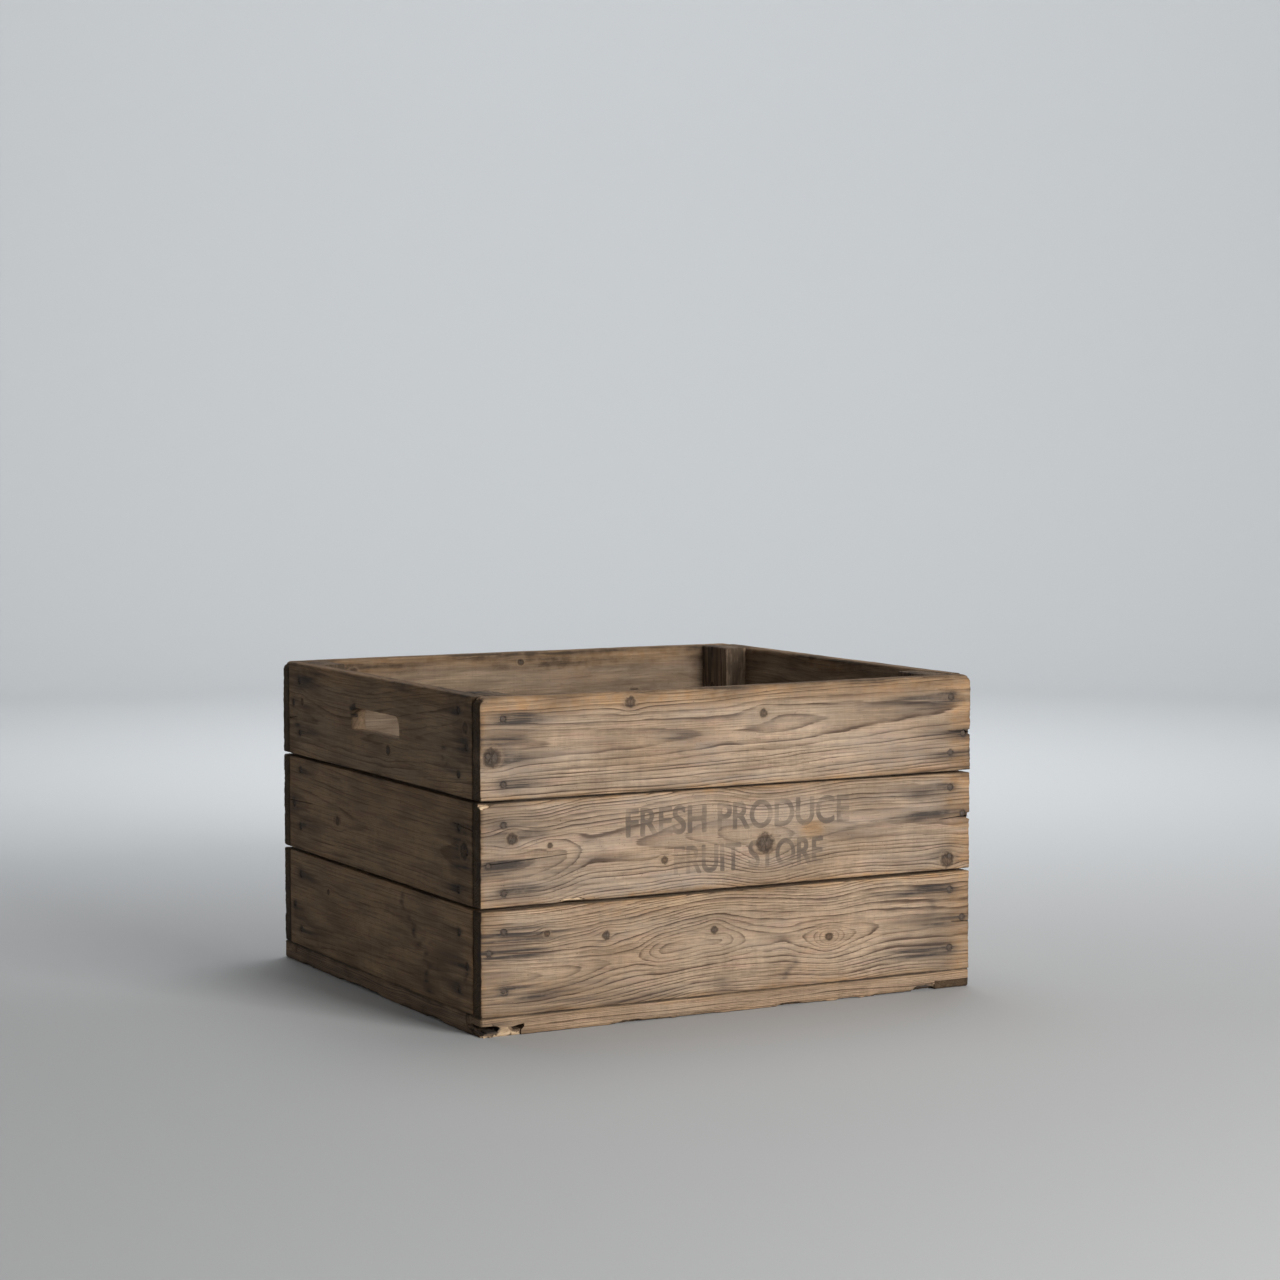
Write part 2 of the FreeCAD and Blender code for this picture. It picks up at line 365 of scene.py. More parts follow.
def nail_stain_and_shade(piece, p):
    """Iron stain: a smear along the grain from each nail inwards, a dark ring round its head, and the
    listed blots, some of them painted shade.
    """
    stain_and_shade = np.zeros(len(p))
    streak = waves(piece.seed + 5, (50, 2.2, 9), 14)(p)
    wide = waves(piece.seed + 6, (30, 12, 20))(p)
    rng = np.random.default_rng(piece.seed + 10)
    for u, v in piece.nails:
        inward = p[:, 0] - u if u < piece.size[0] / 2 else u - p[:, 0]
        reach = rng.uniform(22, 52)
        strength = rng.uniform(0.75, 1.15)
        along = np.where(inward > 0, bell(inward, reach), bell(inward, 8.0))
        path = v + SMEAR_CLIMB * inward * np.sign(piece.axis_v(u) - v)
        across = bell(p[:, 1] - path - 1.2 * wide, 4.4 + 0.03 * np.abs(inward) + 0.5 * streak)
        smear = strength * along * across * (0.75 + 0.30 * streak + 0.15 * wide)
        far = np.hypot(p[:, 0] - u, p[:, 1] - v)
        collar = 1.2 * bell(far - NAIL_HEAD_R - 0.5, 0.75 + 0.3 * wide)
        pool = 0.35 * bell(far, 5.0 + 1.5 * wide)
        stain_and_shade = np.maximum(stain_and_shade, np.maximum(smear, collar) + pool * (1 - np.clip(smear, 0, 1)))
    for u0, v0, reach_u, reach_v, amount in piece.stains_and_shade:
        blot = bell(p[:, 0] - u0 - 6 * wide, reach_u) * bell(p[:, 1] - v0 - 1.5 * wide, reach_v)
        stain_and_shade = 1 - (1 - stain_and_shade) * (1 - np.clip(1.3 * amount * blot * (1 + 0.7 * streak), 0, 1))
    # Only the outer half of the thickness takes these; the cut through the slot's end wall is the edge of
    # its painted shadow.
    return np.clip(stain_and_shade, 0, 1) * (p[:, 2] < piece.size[2] / 2)


# The bruise round a nail head: its depth and its width beyond the head.
BRUISE_DEPTH = 1.45
BRUISE_RIM = 1.1
# Points nearer the face than this take the marks that lie on the outer face only.
FACE_DEPTH = 1.0


def nail_hollow(piece, p):
    """The bruise that the hammer left round each nail head."""
    hollow = np.zeros(len(p))
    for u, v in piece.nails:
        far = np.hypot(p[:, 0] - u, p[:, 1] - v)
        hollow = np.maximum(hollow, BRUISE_DEPTH * (1 - step(NAIL_HEAD_R, NAIL_HEAD_R + BRUISE_RIM, far)))
    return hollow * (p[:, 2] < FACE_DEPTH)


def near_edge(piece, p, reach):
    """1 at an edge of the piece, falling to 0 at the given reach from it."""
    sides = np.sort(np.minimum(p, np.array(piece.size) - p), axis=1)
    return np.clip(1 - sides[:, 1] / reach, 0, 1)


def round_edges(piece, p):
    """Rounds a block's edges by a radius that differs from place to place, most at the ends."""
    size = np.array(piece.size)
    wear = waves(piece.seed + 7, (22, 30, 30))(p) + 0.6 * waves(piece.seed + 8, (6, 5, 5))(p)
    from_end = np.minimum(p[:, 0], size[0] - p[:, 0])
    radius = piece.edge_r * (1 + 0.4 * wear + 0.9 * bell(from_end, 9.0))
    if piece.rim_r:
        radius += (piece.rim_r - piece.edge_r) * step(size[1] - 6, size[1] - 3, p[:, 1])
    radius = np.clip(radius, 0.25, None)[:, None]
    core = np.clip(p, radius, size - radius)
    out = p - core
    far = np.linalg.norm(out, axis=1, keepdims=True)
    rounded = np.where(far > 1e-9, core + out / np.maximum(far, 1e-9) * radius, p)
    ragged = waves(piece.seed + 16, (40, 3.0, 4.0), 14)(p) + waves(piece.seed + 17, (40, 9.0, 8.0))(p)
    pull = 0.22 * np.clip(0.6 + ragged, 0, None) * (1 - step(0.0, 2.5, from_end))
    rounded[:, 0] += np.where(p[:, 0] < size[0] / 2, pull, -pull)
    return rounded


def bend(piece, p):
    """The slight bow of a sawn board: up or down, and in or out."""
    arc = 4 * (p[:, 0] / piece.size[0]) * (1 - p[:, 0] / piece.size[0])
    p[:, 1] += piece.bow[0] * arc
    p[:, 2] += 0.5 * piece.bow[1] * arc
    return p


def round_rim_corners(piece, p):
    """Rounds the two upper corners of a long top board, seen from its face."""
    length, height, _ = piece.size
    r = piece.corner_r
    for side in (0, 1):
        away = p[:, 0] if side == 0 else length - p[:, 0]
        a = np.clip((r - away) / r, 0, 1)
        b = np.clip((p[:, 1] - (height - r)) / r, 0, 1)
        both = (a > 0) & (b > 0)
        shrink = np.maximum(a, b) / np.maximum(np.hypot(a, b), 1e-9)
        sign = 1 if side == 0 else -1
        p[both, 0] += (sign * r * a * (1 - shrink))[both]
        p[both, 1] -= (r * b * (1 - shrink))[both]
    return p


def shape_slot(piece, p):
    """Bends the lattice's square hole into the hand slot: swelling ends, round corners and lips."""
    u0, v0 = piece.size[0] / 2, piece.size[1] / 2 + SLOT["above_middle"]
    half_u, half_v = SLOT["length"] / 2 - SLOT["bulge"], SLOT["height"] / 2
    place = p[:, :2] - (u0, v0)
    edge = np.clip(place, (-half_u, -half_v), (half_u, half_v))
    beyond = np.hypot(*(place - edge).T)
    a, b = np.abs(edge[:, 0]), np.abs(edge[:, 1])
    at_end = a > half_u - 1e-6
    at_side = b > half_v - 1e-6
    moved = np.column_stack([a, b])
    r = SLOT["corner"]
    run = np.where(at_end, half_v - b, half_u - a)
    turning = (at_end | at_side) & (run < r)
    angle = (1 - run / r) * math.pi / 4
    flat, tall = r * np.sin(angle), r * np.cos(angle)
    side_turn, end_turn = turning & at_side, turning & at_end & ~at_side
    moved[side_turn] = np.column_stack([half_u - r + flat, half_v - r + tall])[side_turn]
    moved[end_turn] = np.column_stack([half_u - r + tall, half_v - r + flat])[end_turn]
    swell = SLOT["bulge"] * np.clip(1 - (moved[:, 1] / half_v) ** 2, 0, 1)
    moved[:, 0] += swell * step(half_u - 9, half_u, moved[:, 0])
    depth = np.minimum(p[:, 2], piece.size[2] - p[:, 2])
    lip_r = 2.2 + 0.5 * waves(piece.seed + 9, (18, 12, 30))(p)
    sunk = np.clip(lip_r - depth, 0, None)
    lip = lip_r - np.sqrt(np.clip(lip_r**2 - sunk**2, 0, None))
    outward = np.column_stack([np.where(at_end, 1.0, 0.0), np.where(at_side, 1.0, 0.0)])
    outward /= np.maximum(np.linalg.norm(outward, axis=1, keepdims=True), 1.0)
    moved += outward * lip[:, None]
    shift = (moved - np.column_stack([a, b])) * np.where(edge < 0, -1, 1)
    fade = np.clip(1 - beyond / 14.0, 0, 1) ** 2
    p[:, :2] += shift * fade[:, None]
    return p


def chip_share(piece, chip, p):
    """1 in the middle of a chip, 0 outside it, with a ragged border."""
    rough = waves(piece.seed + 11, (5, 3, 3))(p)
    far = np.linalg.norm((p - np.array(chip.centre, float)) / np.array(chip.reach), axis=1)
    return 1 - step(0.75, 1.0, far + 0.14 * rough)


def chip_mask(piece, p):
    """How fresh the wood is, where a chip has bared it."""
    fresh = np.zeros(len(p))
    for chip in piece.chips:
        fresh = np.maximum(fresh, chip.fresh * chip_share(piece, chip, p))
    return fresh


def bite_chips(piece, p):
    """Pulls the surface in where a splinter has gone."""
    for chip in piece.chips:
        p = p + chip_share(piece, chip, p)[:, None] * np.array(chip.push)
    return p


def tone_at(piece, p, rest):
    """How grey, dirty, rubbed and end-grained each point is; the dirt also holds painted shade in gaps.
    rest is the point before it moved.
    """
    size = np.array(piece.size)
    patch = waves(piece.seed + 12, (120, 40, 40))(p)
    streak = waves(piece.seed + 13, (90, 5, 9), 14)(p)
    inside = step(0.6, 0.9, rest[:, 2] / size[2]) if piece.slot_name == "wall_boards" else 0.0
    from_end = np.minimum(rest[:, 0], size[0] - rest[:, 0])
    cloud = waves(piece.seed + 15, (60, 18, 18))(p)
    dirt_and_shade = piece.dirt_and_shade + piece.inside_dirt * inside + 0.13 * cloud
    grey = piece.grey + 0.22 * patch + 0.10 * streak - 0.25 * inside
    rub = near_edge(piece, rest, 6.0) ** 1.5 * (0.9 + 0.5 * waves(piece.seed + 14, (25, 12, 12))(p))
    warm = piece.warm * (0.4 + 0.5 * patch) + 0.9 * rub
    end_warmth = np.where(rest[:, 0] < size[0] / 2, *piece.warm_ends)
    warm += end_warmth * (1 - step(6, 34, from_end)) * (0.7 + 0.4 * streak)
    for u0, v0, reach_u, reach_v, amount in piece.rubs:
        spot = bell(rest[:, 0] - u0, reach_u) * bell(rest[:, 1] - v0, reach_v)
        warm += amount * spot * (1 + 0.4 * streak) * (rest[:, 2] < size[2] / 2)
    if piece.rim_r:
        rim = step(size[1] - 22, size[1] - 4, rest[:, 1])
        warm += 1.2 * rim * (0.85 + 0.35 * patch)
        dirt_and_shade += 0.20 * rim * np.clip(1 + 0.8 * streak, 0, None)
    grey -= 0.5 * np.clip(warm, 0, 1)
    dirt_and_shade += 0.11 * (1 - step(5, 75, from_end)) * np.clip(1 + 0.6 * streak + 0.6 * cloud, 0, None)
    dirt_and_shade += 0.22 * near_edge(piece, rest, 4.0) * np.clip(1 + cloud, 0, None)
    # The lowest millimetre of every piece is darkened: painted shade of the gap below it, carried as dirt.
    dirt_and_shade += 0.8 * (1 - step(0.2, 1.0, rest[:, 1]))
    # A dark line along the base frame's top edge: painted shade of the crevice under the lowest wall board.
    if piece.slot_name == "base_frame":
        dirt_and_shade += 1.3 * (1 - step(0.5, 1.5, size[1] - rest[:, 1]))
    end = piece.end_dark * (1 - step(0.0, 0.8, from_end))
    tone = np.clip(np.column_stack([grey, dirt_and_shade, warm, end]), 0, 1)
    fresh = chip_mask(piece, rest)
    tone *= 1 - fresh[:, None]
    tone[:, 2] += FRESH * fresh
    return tone


# ---- A faded stencil ----------------------------------------------------------------------------

# Plain words of no maker: the text, the middle of its line on the board, and its width and height.
STENCIL = [("FRESH PRODUCE", (254, 64), (227, 24)), ("FRUIT STORE", (264, 28), (152, 24))]
INK_SPREAD = 0.8
INK_BORDER = 2.4


def letter_triangles(text, middle, size):
    """A line of letters as triangles on the board, and the outline edges of the letters."""
    letters = bpy.data.curves.new("letters", "FONT")
    letters.body = text
    made = bpy.data.objects.new("letters", letters)
    mesh = made.to_mesh()
    mesh.calc_loop_triangles()
    spots = np.array([v.co[:2] for v in mesh.vertices])
    corners = np.array([t.vertices[:] for t in mesh.loop_triangles])
    made.to_mesh_clear()
    bpy.data.objects.remove(made)
    bpy.data.curves.remove(letters)
    low, high = spots.min(0), spots.max(0)
    spots = (spots - (low + high) / 2) / (high - low) * size + middle
    edges = np.sort(np.concatenate([corners[:, [0, 1]], corners[:, [1, 2]], corners[:, [2, 0]]]), axis=1)
    edges, uses = np.unique(edges, axis=0, return_counts=True)
    return spots[corners], spots[edges[uses == 1]]


def side_of(start, end, spots):
    """Positive where a spot lies left of the line from start to end, negative right of it."""
    along, off = end - start, spots - start
    return along[0] * off[:, 1] - along[1] * off[:, 0]


def ink_at(piece, p):
    """1 inside a letter and 0 outside it, with a soft border and a little spread ink."""
    ink = np.zeros(len(p))
    for text, middle, size in piece.stencil:
        near = (np.abs(p[:, :2] - middle) < np.array(size) / 2 + 3).all(axis=1) & (p[:, 2] < FACE_DEPTH)
        spots = p[near, :2]
        triangles, outline = letter_triangles(text, middle, size)
        inside = np.zeros(len(spots), bool)
        for a, b, c in triangles:
            turns = [side_of(start, end, spots) for start, end in ((a, b), (b, c), (c, a))]
            inside |= (np.min(turns, axis=0) >= 0) | (np.max(turns, axis=0) <= 0)
        far = np.full(len(spots), 9.0)
        for start, end in outline:
            run = end - start
            share = np.clip((spots - start) @ run / max(run @ run, 1e-12), 0, 1)
            far = np.minimum(far, np.hypot(*(spots - start - share[:, None] * run).T))
        ink[near] = np.clip(0.5 + (np.where(inside, far, -far) + INK_SPREAD) / INK_BORDER, 0, 1)
    return ink


# ---- From fields to a mesh ----------------------------------------------------------------------


def vertex_normals(points, faces):
    """Unit normals of a quad mesh's points, from the faces round them."""
    across = points[faces[:, 2]] - points[faces[:, 0]]
    other = points[faces[:, 3]] - points[faces[:, 1]]
    flat = np.cross(across, other)
    normals = np.zeros_like(points)
    for corner in range(4):
        np.add.at(normals, faces[:, corner], flat)
    return normals / np.maximum(np.linalg.norm(normals, axis=1, keepdims=True), 1e-12)


CRACK_ROWS = (-1.0, -0.45, 0.0, 0.45, 1.0)
# How far the lattice's fine stretch reaches on each side of a nail.
NAIL_REACH = 6


def lattice(piece):
    """The piece's sample places: closer round its nails, knots, cracks and cuts."""
    length, height, depth = piece.size
    gap_u, gap_v, gap_w = piece.steps
    fine_u = [(k.u - 2.5 * k.radius, k.u + 2.5 * k.radius) for k in piece.knots]
    fine_u += [(u - NAIL_REACH, u + NAIL_REACH) for u, _ in piece.nails]
    cuts = [[], [], []]
    for hole in piece.holes:
        for axis, ends in enumerate(hole):
            cuts[axis] += list(ends)
    crack_rows = []
    for crack in piece.cracks:
        crack_rows += [crack.v + offset for offset in CRACK_ROWS]
    fine_u += [(middle[0] - size[0] / 2, middle[0] + size[0] / 2) for _, middle, size in piece.stencil]
    us = spaced(length, gap_u, fine_u, cuts[0])
    vs = spaced(height, gap_v, (), cuts[1] + crack_rows)
    ws = spaced(depth, gap_w, (), cuts[2])
    return shell(us, vs, ws, piece.holes)


def wooden_mesh(piece):
    """Builds one wooden piece and its attributes, and puts it in the place of its CAD node."""
    rest, faces = lattice(piece)
    rest[:, 1] += crack_shift(piece, rest)
    p = round_edges(piece, rest)
    if piece.corner_r:
        p = round_rim_corners(piece, p)
    if piece.slot:
        p = shape_slot(piece, p)
    p = bite_chips(piece, p)
    rings = ring_at(piece, p)
    slope = np.abs(ring_at(piece, p + (0, 0.8, 0)) - rings) / 0.8
    knots = knot_at(piece, p)
    in_knot = 1 - step(0.8, 1.15, knots[:, 2])
    flat = np.clip(1.3 - 2.2 * slope, 0, 1) * (1 - in_knot)
    raised = piece.relief * (latewood(rings) - 0.5) * flat + 0.10 * in_knot
    raised += 0.12 * waves(piece.seed + 3, (110, 45, 60))(p)
    raised += 0.05 * waves(piece.seed + 18, (12, 3, 5), 14)(p)
    normals = vertex_normals(p, faces)
    on_face = np.abs(normals[:, 2]) ** 4
    cracks = crack_depth(piece, rest)
    sunk = nail_hollow(piece, rest) + cracks * on_face
    tone = tone_at(piece, p, rest)
    # Cracks take the stain colour, deeper points darker: painted shade inside the crack.
    stain_and_shade = np.clip(nail_stain_and_shade(piece, rest) + 0.8 * step(0.2, 1.0, cracks), 0, 1)
    p = bend(piece, p + normals * (raised - sunk)[:, None])

    mesh = bpy.data.meshes.new(piece.node + "_wood")
    mesh.from_pydata(piece.to_world(p).tolist(), [], faces[:, ::-1].tolist())
    add_attribute(mesh, "ring", "FLOAT", rings)
    add_attribute(mesh, "clear", "FLOAT", ring_clearness(piece, rest))
    add_attribute(mesh, "stain_and_shade", "FLOAT", stain_and_shade)
    if piece.stencil:
        add_attribute(mesh, "ink", "FLOAT", ink_at(piece, rest))
    add_attribute(mesh, "knot", "FLOAT_VECTOR", knots)
    add_attribute(mesh, "grain", "FLOAT_VECTOR", p + np.array([97.0, 61.0, 43.0]) * (piece.seed % 50))
    add_attribute(mesh, "tone", "FLOAT_COLOR", tone)
    mesh.shade_smooth()
    mesh.set_sharp_from_angle(angle=math.radians(50))
    hand_over(mesh, piece.node, "_worn", MATERIALS[piece.material], piece.slot_name)


def hand_over(mesh, node, ending, material, slot):
    """Puts a finished mesh in the place of its CAD node."""
    mesh.materials.append(material)
    made = bpy.data.objects.new(node + ending, mesh)
    bpy.context.scene.collection.objects.link(made)
    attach(made, "root")
    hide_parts(node)


ATTRIBUTE_FIELDS = {"FLOAT": "value", "FLOAT_VECTOR": "vector", "FLOAT_COLOR": "color"}


def add_attribute(mesh, name, kind, values):
    layer = mesh.attributes.new(name, kind, "POINT")
    flat = np.ascontiguousarray(values, np.float32).ravel()
    layer.data.foreach_set(ATTRIBUTE_FIELDS[kind], flat)


# ---- Materials ----------------------------------------------------------------------------------


class Nodes:
    """Short ways to build a node material."""

    def __init__(self, name):
        self.material = bpy.data.materials.new(name)
        self.material.use_nodes = True
        self.tree = self.material.node_tree
        self.bsdf = self.tree.nodes["Principled BSDF"]

    def put(self, socket, value):
        if isinstance(value, bpy.types.NodeSocket):
            self.tree.links.new(value, socket)
        elif value is not None:
            socket.default_value = value

    def math(self, operation, a, b=None, c=None, clamp=False):
        node = self.tree.nodes.new("ShaderNodeMath")
        node.operation = operation
        node.use_clamp = clamp
        for socket, value in zip(node.inputs, (a, b, c)):
            self.put(socket, value)
        return node.outputs[0]

    def plus(self, a, b):
        return self.math("ADD", a, b)

    def times(self, a, b, clamp=False):
        return self.math("MULTIPLY", a, b, clamp=clamp)

    def times_plus(self, a, b, c):
        """a times b, plus c."""
        return self.math("MULTIPLY_ADD", a, b, c)

    def centred(self, noise):
        """A noise of 0 to 1, moved to lie around 0."""
        return self.math("SUBTRACT", noise, 0.5)

    def spread(self, value, low, high, to_low=0.0, to_high=1.0):
        """A smooth step of a value."""
        node = self.tree.nodes.new("ShaderNodeMapRange")
        node.interpolation_type = "SMOOTHSTEP"
        for socket, given in zip(node.inputs, (value, low, high, to_low, to_high)):
            self.put(socket, given)
        return node.outputs[0]

    def mix(self, share, a, b, blend="MIX"):
        node = self.tree.nodes.new("ShaderNodeMix")
        node.data_type = "RGBA"
        node.blend_type = blend
        self.put(node.inputs["Factor"], share)
        for name, value in (("A", a), ("B", b)):
            socket = next(s for s in node.inputs if s.name == name and s.type == "RGBA")
            self.put(socket, value if isinstance(value, bpy.types.NodeSocket) else (*value, 1.0))
        return next(s for s in node.outputs if s.type == "RGBA")

    def attribute(self, name, output="Fac"):
        node = self.tree.nodes.new("ShaderNodeAttribute")
        node.attribute_name = name
        return node.outputs[output]

    def split(self, vector):
        node = self.tree.nodes.new("ShaderNodeSeparateXYZ")
        self.put(node.inputs[0], vector)
        return node.outputs

    def stretch(self, vector, scale):
        node = self.tree.nodes.new("ShaderNodeVectorMath")
        node.operation = "MULTIPLY"
        self.put(node.inputs[0], vector)
        node.inputs[1].default_value = scale
        return node.outputs[0]

    def noise(self, vector, scale=1.0, detail=3.0, roughness=0.55):
        node = self.tree.nodes.new("ShaderNodeTexNoise")
        self.put(node.inputs["Vector"], vector)
        node.inputs["Scale"].default_value = scale
        node.inputs["Detail"].default_value = detail
        node.inputs["Roughness"].default_value = roughness
        return node.outputs["Fac"]

    def bump(self, height, distance, strength=1.0):
        node = self.tree.nodes.new("ShaderNodeBump")
        node.inputs["Strength"].default_value = strength
        node.inputs["Distance"].default_value = distance
        self.put(node.inputs["Height"], height)
        return node.outputs[0]


# A kind of wood: the colours of its soft and hard rings, of its grey skin and of its rubbed edges,
# the contrast of its rings and the strength of its dark flecks.
Wood = namedtuple("Wood", "early late grey warm contrast fleck")
# The patterns that the wood's colours and relief are mixed from.
Noises = namedtuple("Noises", "fibre hair patch stretch saw blot grit wear")

# The dirt colour also paints the shade in the gaps under pieces and along the base frame's top edge.
DIRT_AND_SHADE = (0.072, 0.050, 0.034)
END_GRAIN = (0.032, 0.019, 0.010)
# The iron stain's colour also paints shade: on the posts' -X faces, in the hand slot's far end, in cracks
# and in the base frame's voids.
IRON_STAIN_AND_SHADE = (0.036, 0.031, 0.030)
STENCIL_INK = (0.100, 0.078, 0.062)
KNOT_BROWN = ((0.150, 0.092, 0.058), (0.080, 0.051, 0.034))
KNOT_SLATE = ((0.095, 0.076, 0.062), (0.055, 0.045, 0.038))
KNOT_CHECK = (0.018, 0.014, 0.012)
KNOT_RIM = (0.034, 0.024, 0.018)
KNOT_HALO = (0.150, 0.096, 0.060)
BARED_WOOD = ((0.62, 0.46, 0.30), (0.40, 0.25, 0.13))


def scaled(colour, factor):
    return tuple(factor * c for c in colour)


def wood_noises(n, grain):
    """The wood's patterns, most of them drawn out along the grain; scales are per millimetre."""
    return Noises(
        fibre=n.noise(n.stretch(grain, (0.012, 0.95, 0.95)), detail=4.0, roughness=0.62),
        hair=n.noise(n.stretch(grain, (0.04, 2.6, 2.6)), detail=3.0, roughness=0.6),
        patch=n.noise(n.stretch(grain, (0.008, 0.035, 0.035)), detail=3.0),
        stretch=n.noise(n.stretch(grain, (0.022, 0.22, 0.22)), detail=2.0),
        saw=n.noise(n.stretch(grain, (0.62, 0.025, 0.025)), detail=2.0, roughness=0.6),
        blot=n.noise(grain, 0.11, detail=4.0, roughness=0.6),
        grit=n.noise(grain, 1.3, detail=3.0, roughness=0.7),
        wear=n.noise(n.stretch(grain, (0.03, 0.06, 0.06)), detail=2.0),
    )


def late_wood(n, noises):
    """How hard and dark the wood is: each ring darkens slowly, then ends in a thin hard line."""
    rings = n.plus(n.attribute("ring"), n.times(n.centred(noises.fibre), 0.30))
    part = n.math("FRACT", rings)
    fall = n.spread(part, 0.93, 1.0, 1.0, 0.0)
    body = n.times(n.spread(part, 0.25, 1.0), fall)
    line = n.times(n.spread(part, 0.66, 0.93), fall)
    own = n.tree.nodes.new("ShaderNodeTexWhiteNoise")
    own.noise_dimensions = "1D"
    n.put(own.inputs["W"], n.math("FLOOR", rings))
    strength = n.times_plus(own.outputs["Value"], 0.75, 0.40)
    strength = n.times(strength, n.attribute("clear"))
    strength = n.times(strength, n.spread(noises.stretch, 0.30, 0.62, 0.55, 1.30))
    return n.times(n.plus(n.times(body, 0.42), n.times(line, 0.58)), strength)


def sawn_wood(n, noises, late, wood):
    """Pinkish, duller and plain stretches, then the rings, then fibres and saw marks over them."""
    pink = tuple(c * k for c, k in zip(wood.early, (1.0, 0.93, 0.98)))
    dull = tuple(c * k for c, k in zip(wood.early, (0.86, 0.85, 0.87)))
    ground = n.mix(n.spread(noises.patch, 0.38, 0.62), dull, wood.early)
    ground = n.mix(n.spread(noises.stretch, 0.5, 0.7), ground, pink)
    colour = n.mix(n.times(late, wood.contrast, clamp=True), ground, wood.late)
    shade = n.spread(noises.fibre, 0.30, 0.70, 0.66, 1.22)
    shade = n.times(shade, n.spread(noises.saw, 0.3, 0.7, 0.955, 1.045))
    shade = n.times(shade, n.spread(noises.blot, 0.25, 0.75, 0.80, 1.14))
    shade = n.times(shade, n.spread(noises.hair, 0.30, 0.70, 0.90, 1.10))
    scale = n.tree.nodes.new("ShaderNodeCombineColor")
    for socket in scale.inputs:
        n.put(socket, shade)
    return n.mix(1.0, colour, scale.outputs[0], "MULTIPLY")


def with_skin(n, noises, late, wood, colour, weather):
    """The grey skin of old wood, in long patches."""
    skin = n.times(weather, n.spread(n.times_plus(noises.fibre, 0.5, noises.patch), 0.5, 1.0))
    greyed = n.mix(n.times(late, 0.9, clamp=True), wood.grey, scaled(wood.grey, 0.42))
    return n.mix(n.times(skin, 0.85, clamp=True), colour, greyed)


def with_rubbing(n, noises, late, wood, colour, rubbed):
    """Warm wood where hands and ground have rubbed the skin off."""
    glow = n.times(rubbed, n.spread(noises.blot, 0.3, 0.7, 0.35, 1.0), clamp=True)
    bright = n.mix(n.times(late, 0.9, clamp=True), wood.warm, wood.late)
    bright = n.mix(n.spread(noises.fibre, 0.3, 0.7, 0.45, 0.0), bright, wood.late)
    return n.mix(n.times(glow, 0.85, clamp=True), colour, bright)


def with_dirt_and_shade(n, noises, wood, colour, pores, spots, dirt_and_shade):
    """Dark pores and specks, and dirt in cloudy patches; the dirt channel also carries painted shade in
    gaps.
    """
    colour = n.mix(pores, colour, scaled(wood.late, 0.5))
    colour = n.mix(spots, colour, scaled(wood.late, 0.45))
    cloud = n.times_plus(noises.blot, 0.4, n.times(noises.stretch, 0.6))
    cloud = n.spread(n.times_plus(noises.fibre, 0.5, cloud), 0.50, 1.00, 0.4, 1.6)
    return n.mix(n.times(n.times(dirt_and_shade, cloud), 0.9, clamp=True), colour, DIRT_AND_SHADE)


def with_iron_stain_and_shade(n, noises, colour):
    """Iron stain, blue-black, in streaks along the grain, and painted shade in the same colour."""
    stain_and_shade = n.times(n.attribute("stain_and_shade"), n.spread(noises.fibre, 0.3, 0.65, 0.55, 1.25))
    stain_and_shade = n.times(stain_and_shade, n.spread(noises.blot, 0.2, 0.6, 0.7, 1.1), clamp=True)
    return n.mix(n.times(stain_and_shade, 0.92), colour, IRON_STAIN_AND_SHADE)


def with_stencil(n, noises, colour):
    """A stencil that has worn off in patches."""
    ink = n.times_plus(n.centred(noises.blot), 0.7, n.attribute("ink"))
    ink = n.times_plus(n.centred(noises.fibre), 0.5, ink)
    ink = n.times(n.spread(ink, 0.42, 0.60), n.spread(noises.wear, 0.35, 0.65, 0.25, 0.80))
    return n.mix(ink, colour, STENCIL_INK)


def knot_pattern(n, noises, grain):
    """A knot's distorted distance from its middle, in radii, its heart, and the checks in it."""
    x, y, far = n.split(n.attribute("knot", "Vector"))
    wobble = n.noise(grain, 0.30, detail=3.0, roughness=0.6)
    far = n.times_plus(n.centred(wobble), 1.1, far)
    far = n.times_plus(n.centred(noises.grit), 0.25, far)
    spokes = n.tree.nodes.new("ShaderNodeCombineXYZ")
    n.put(spokes.inputs["X"], n.times(n.math("ARCTAN2", y, x), 1.6))
    n.put(spokes.inputs["Y"], n.times(far, 0.5))
    n.put(spokes.inputs["Z"], noises.patch)
    checks = n.spread(n.noise(spokes.outputs[0], 1.0, detail=3.0), 0.55, 0.64)
    return far, n.spread(far, 0.60, 1.15, 1.0, 0.0), checks


def with_knots(n, noises, wood, colour, far, heart, checks):
    """A heart with fine rings and checks, a dark uneven rim, and darker wood around."""
    rim = n.times(n.spread(far, 0.45, 0.85), n.spread(far, 0.90, 1.45, 1.0, 0.0))
    halo = n.spread(far, 0.9, 2.3, 1.0, 0.0)
    turns = n.times_plus(n.math("SINE", n.times(far, 17.0)), 0.5, 0.5)
    flesh = n.mix(n.spread(noises.patch, 0.42, 0.58), n.mix(turns, *KNOT_BROWN), n.mix(turns, *KNOT_SLATE))
    flesh = n.mix(n.times(checks, 0.8), flesh, KNOT_CHECK)
    colour = n.mix(n.times(halo, 0.42), colour, KNOT_HALO)
    pale = n.times(n.spread(far, 1.1, 1.35), n.spread(far, 1.45, 1.8, 1.0, 0.0))
    colour = n.mix(n.times(pale, 0.13), colour, wood.early)
    colour = n.mix(n.times(heart, 0.82), colour, flesh)
    return n.mix(n.times(rim, 0.62), colour, KNOT_RIM)


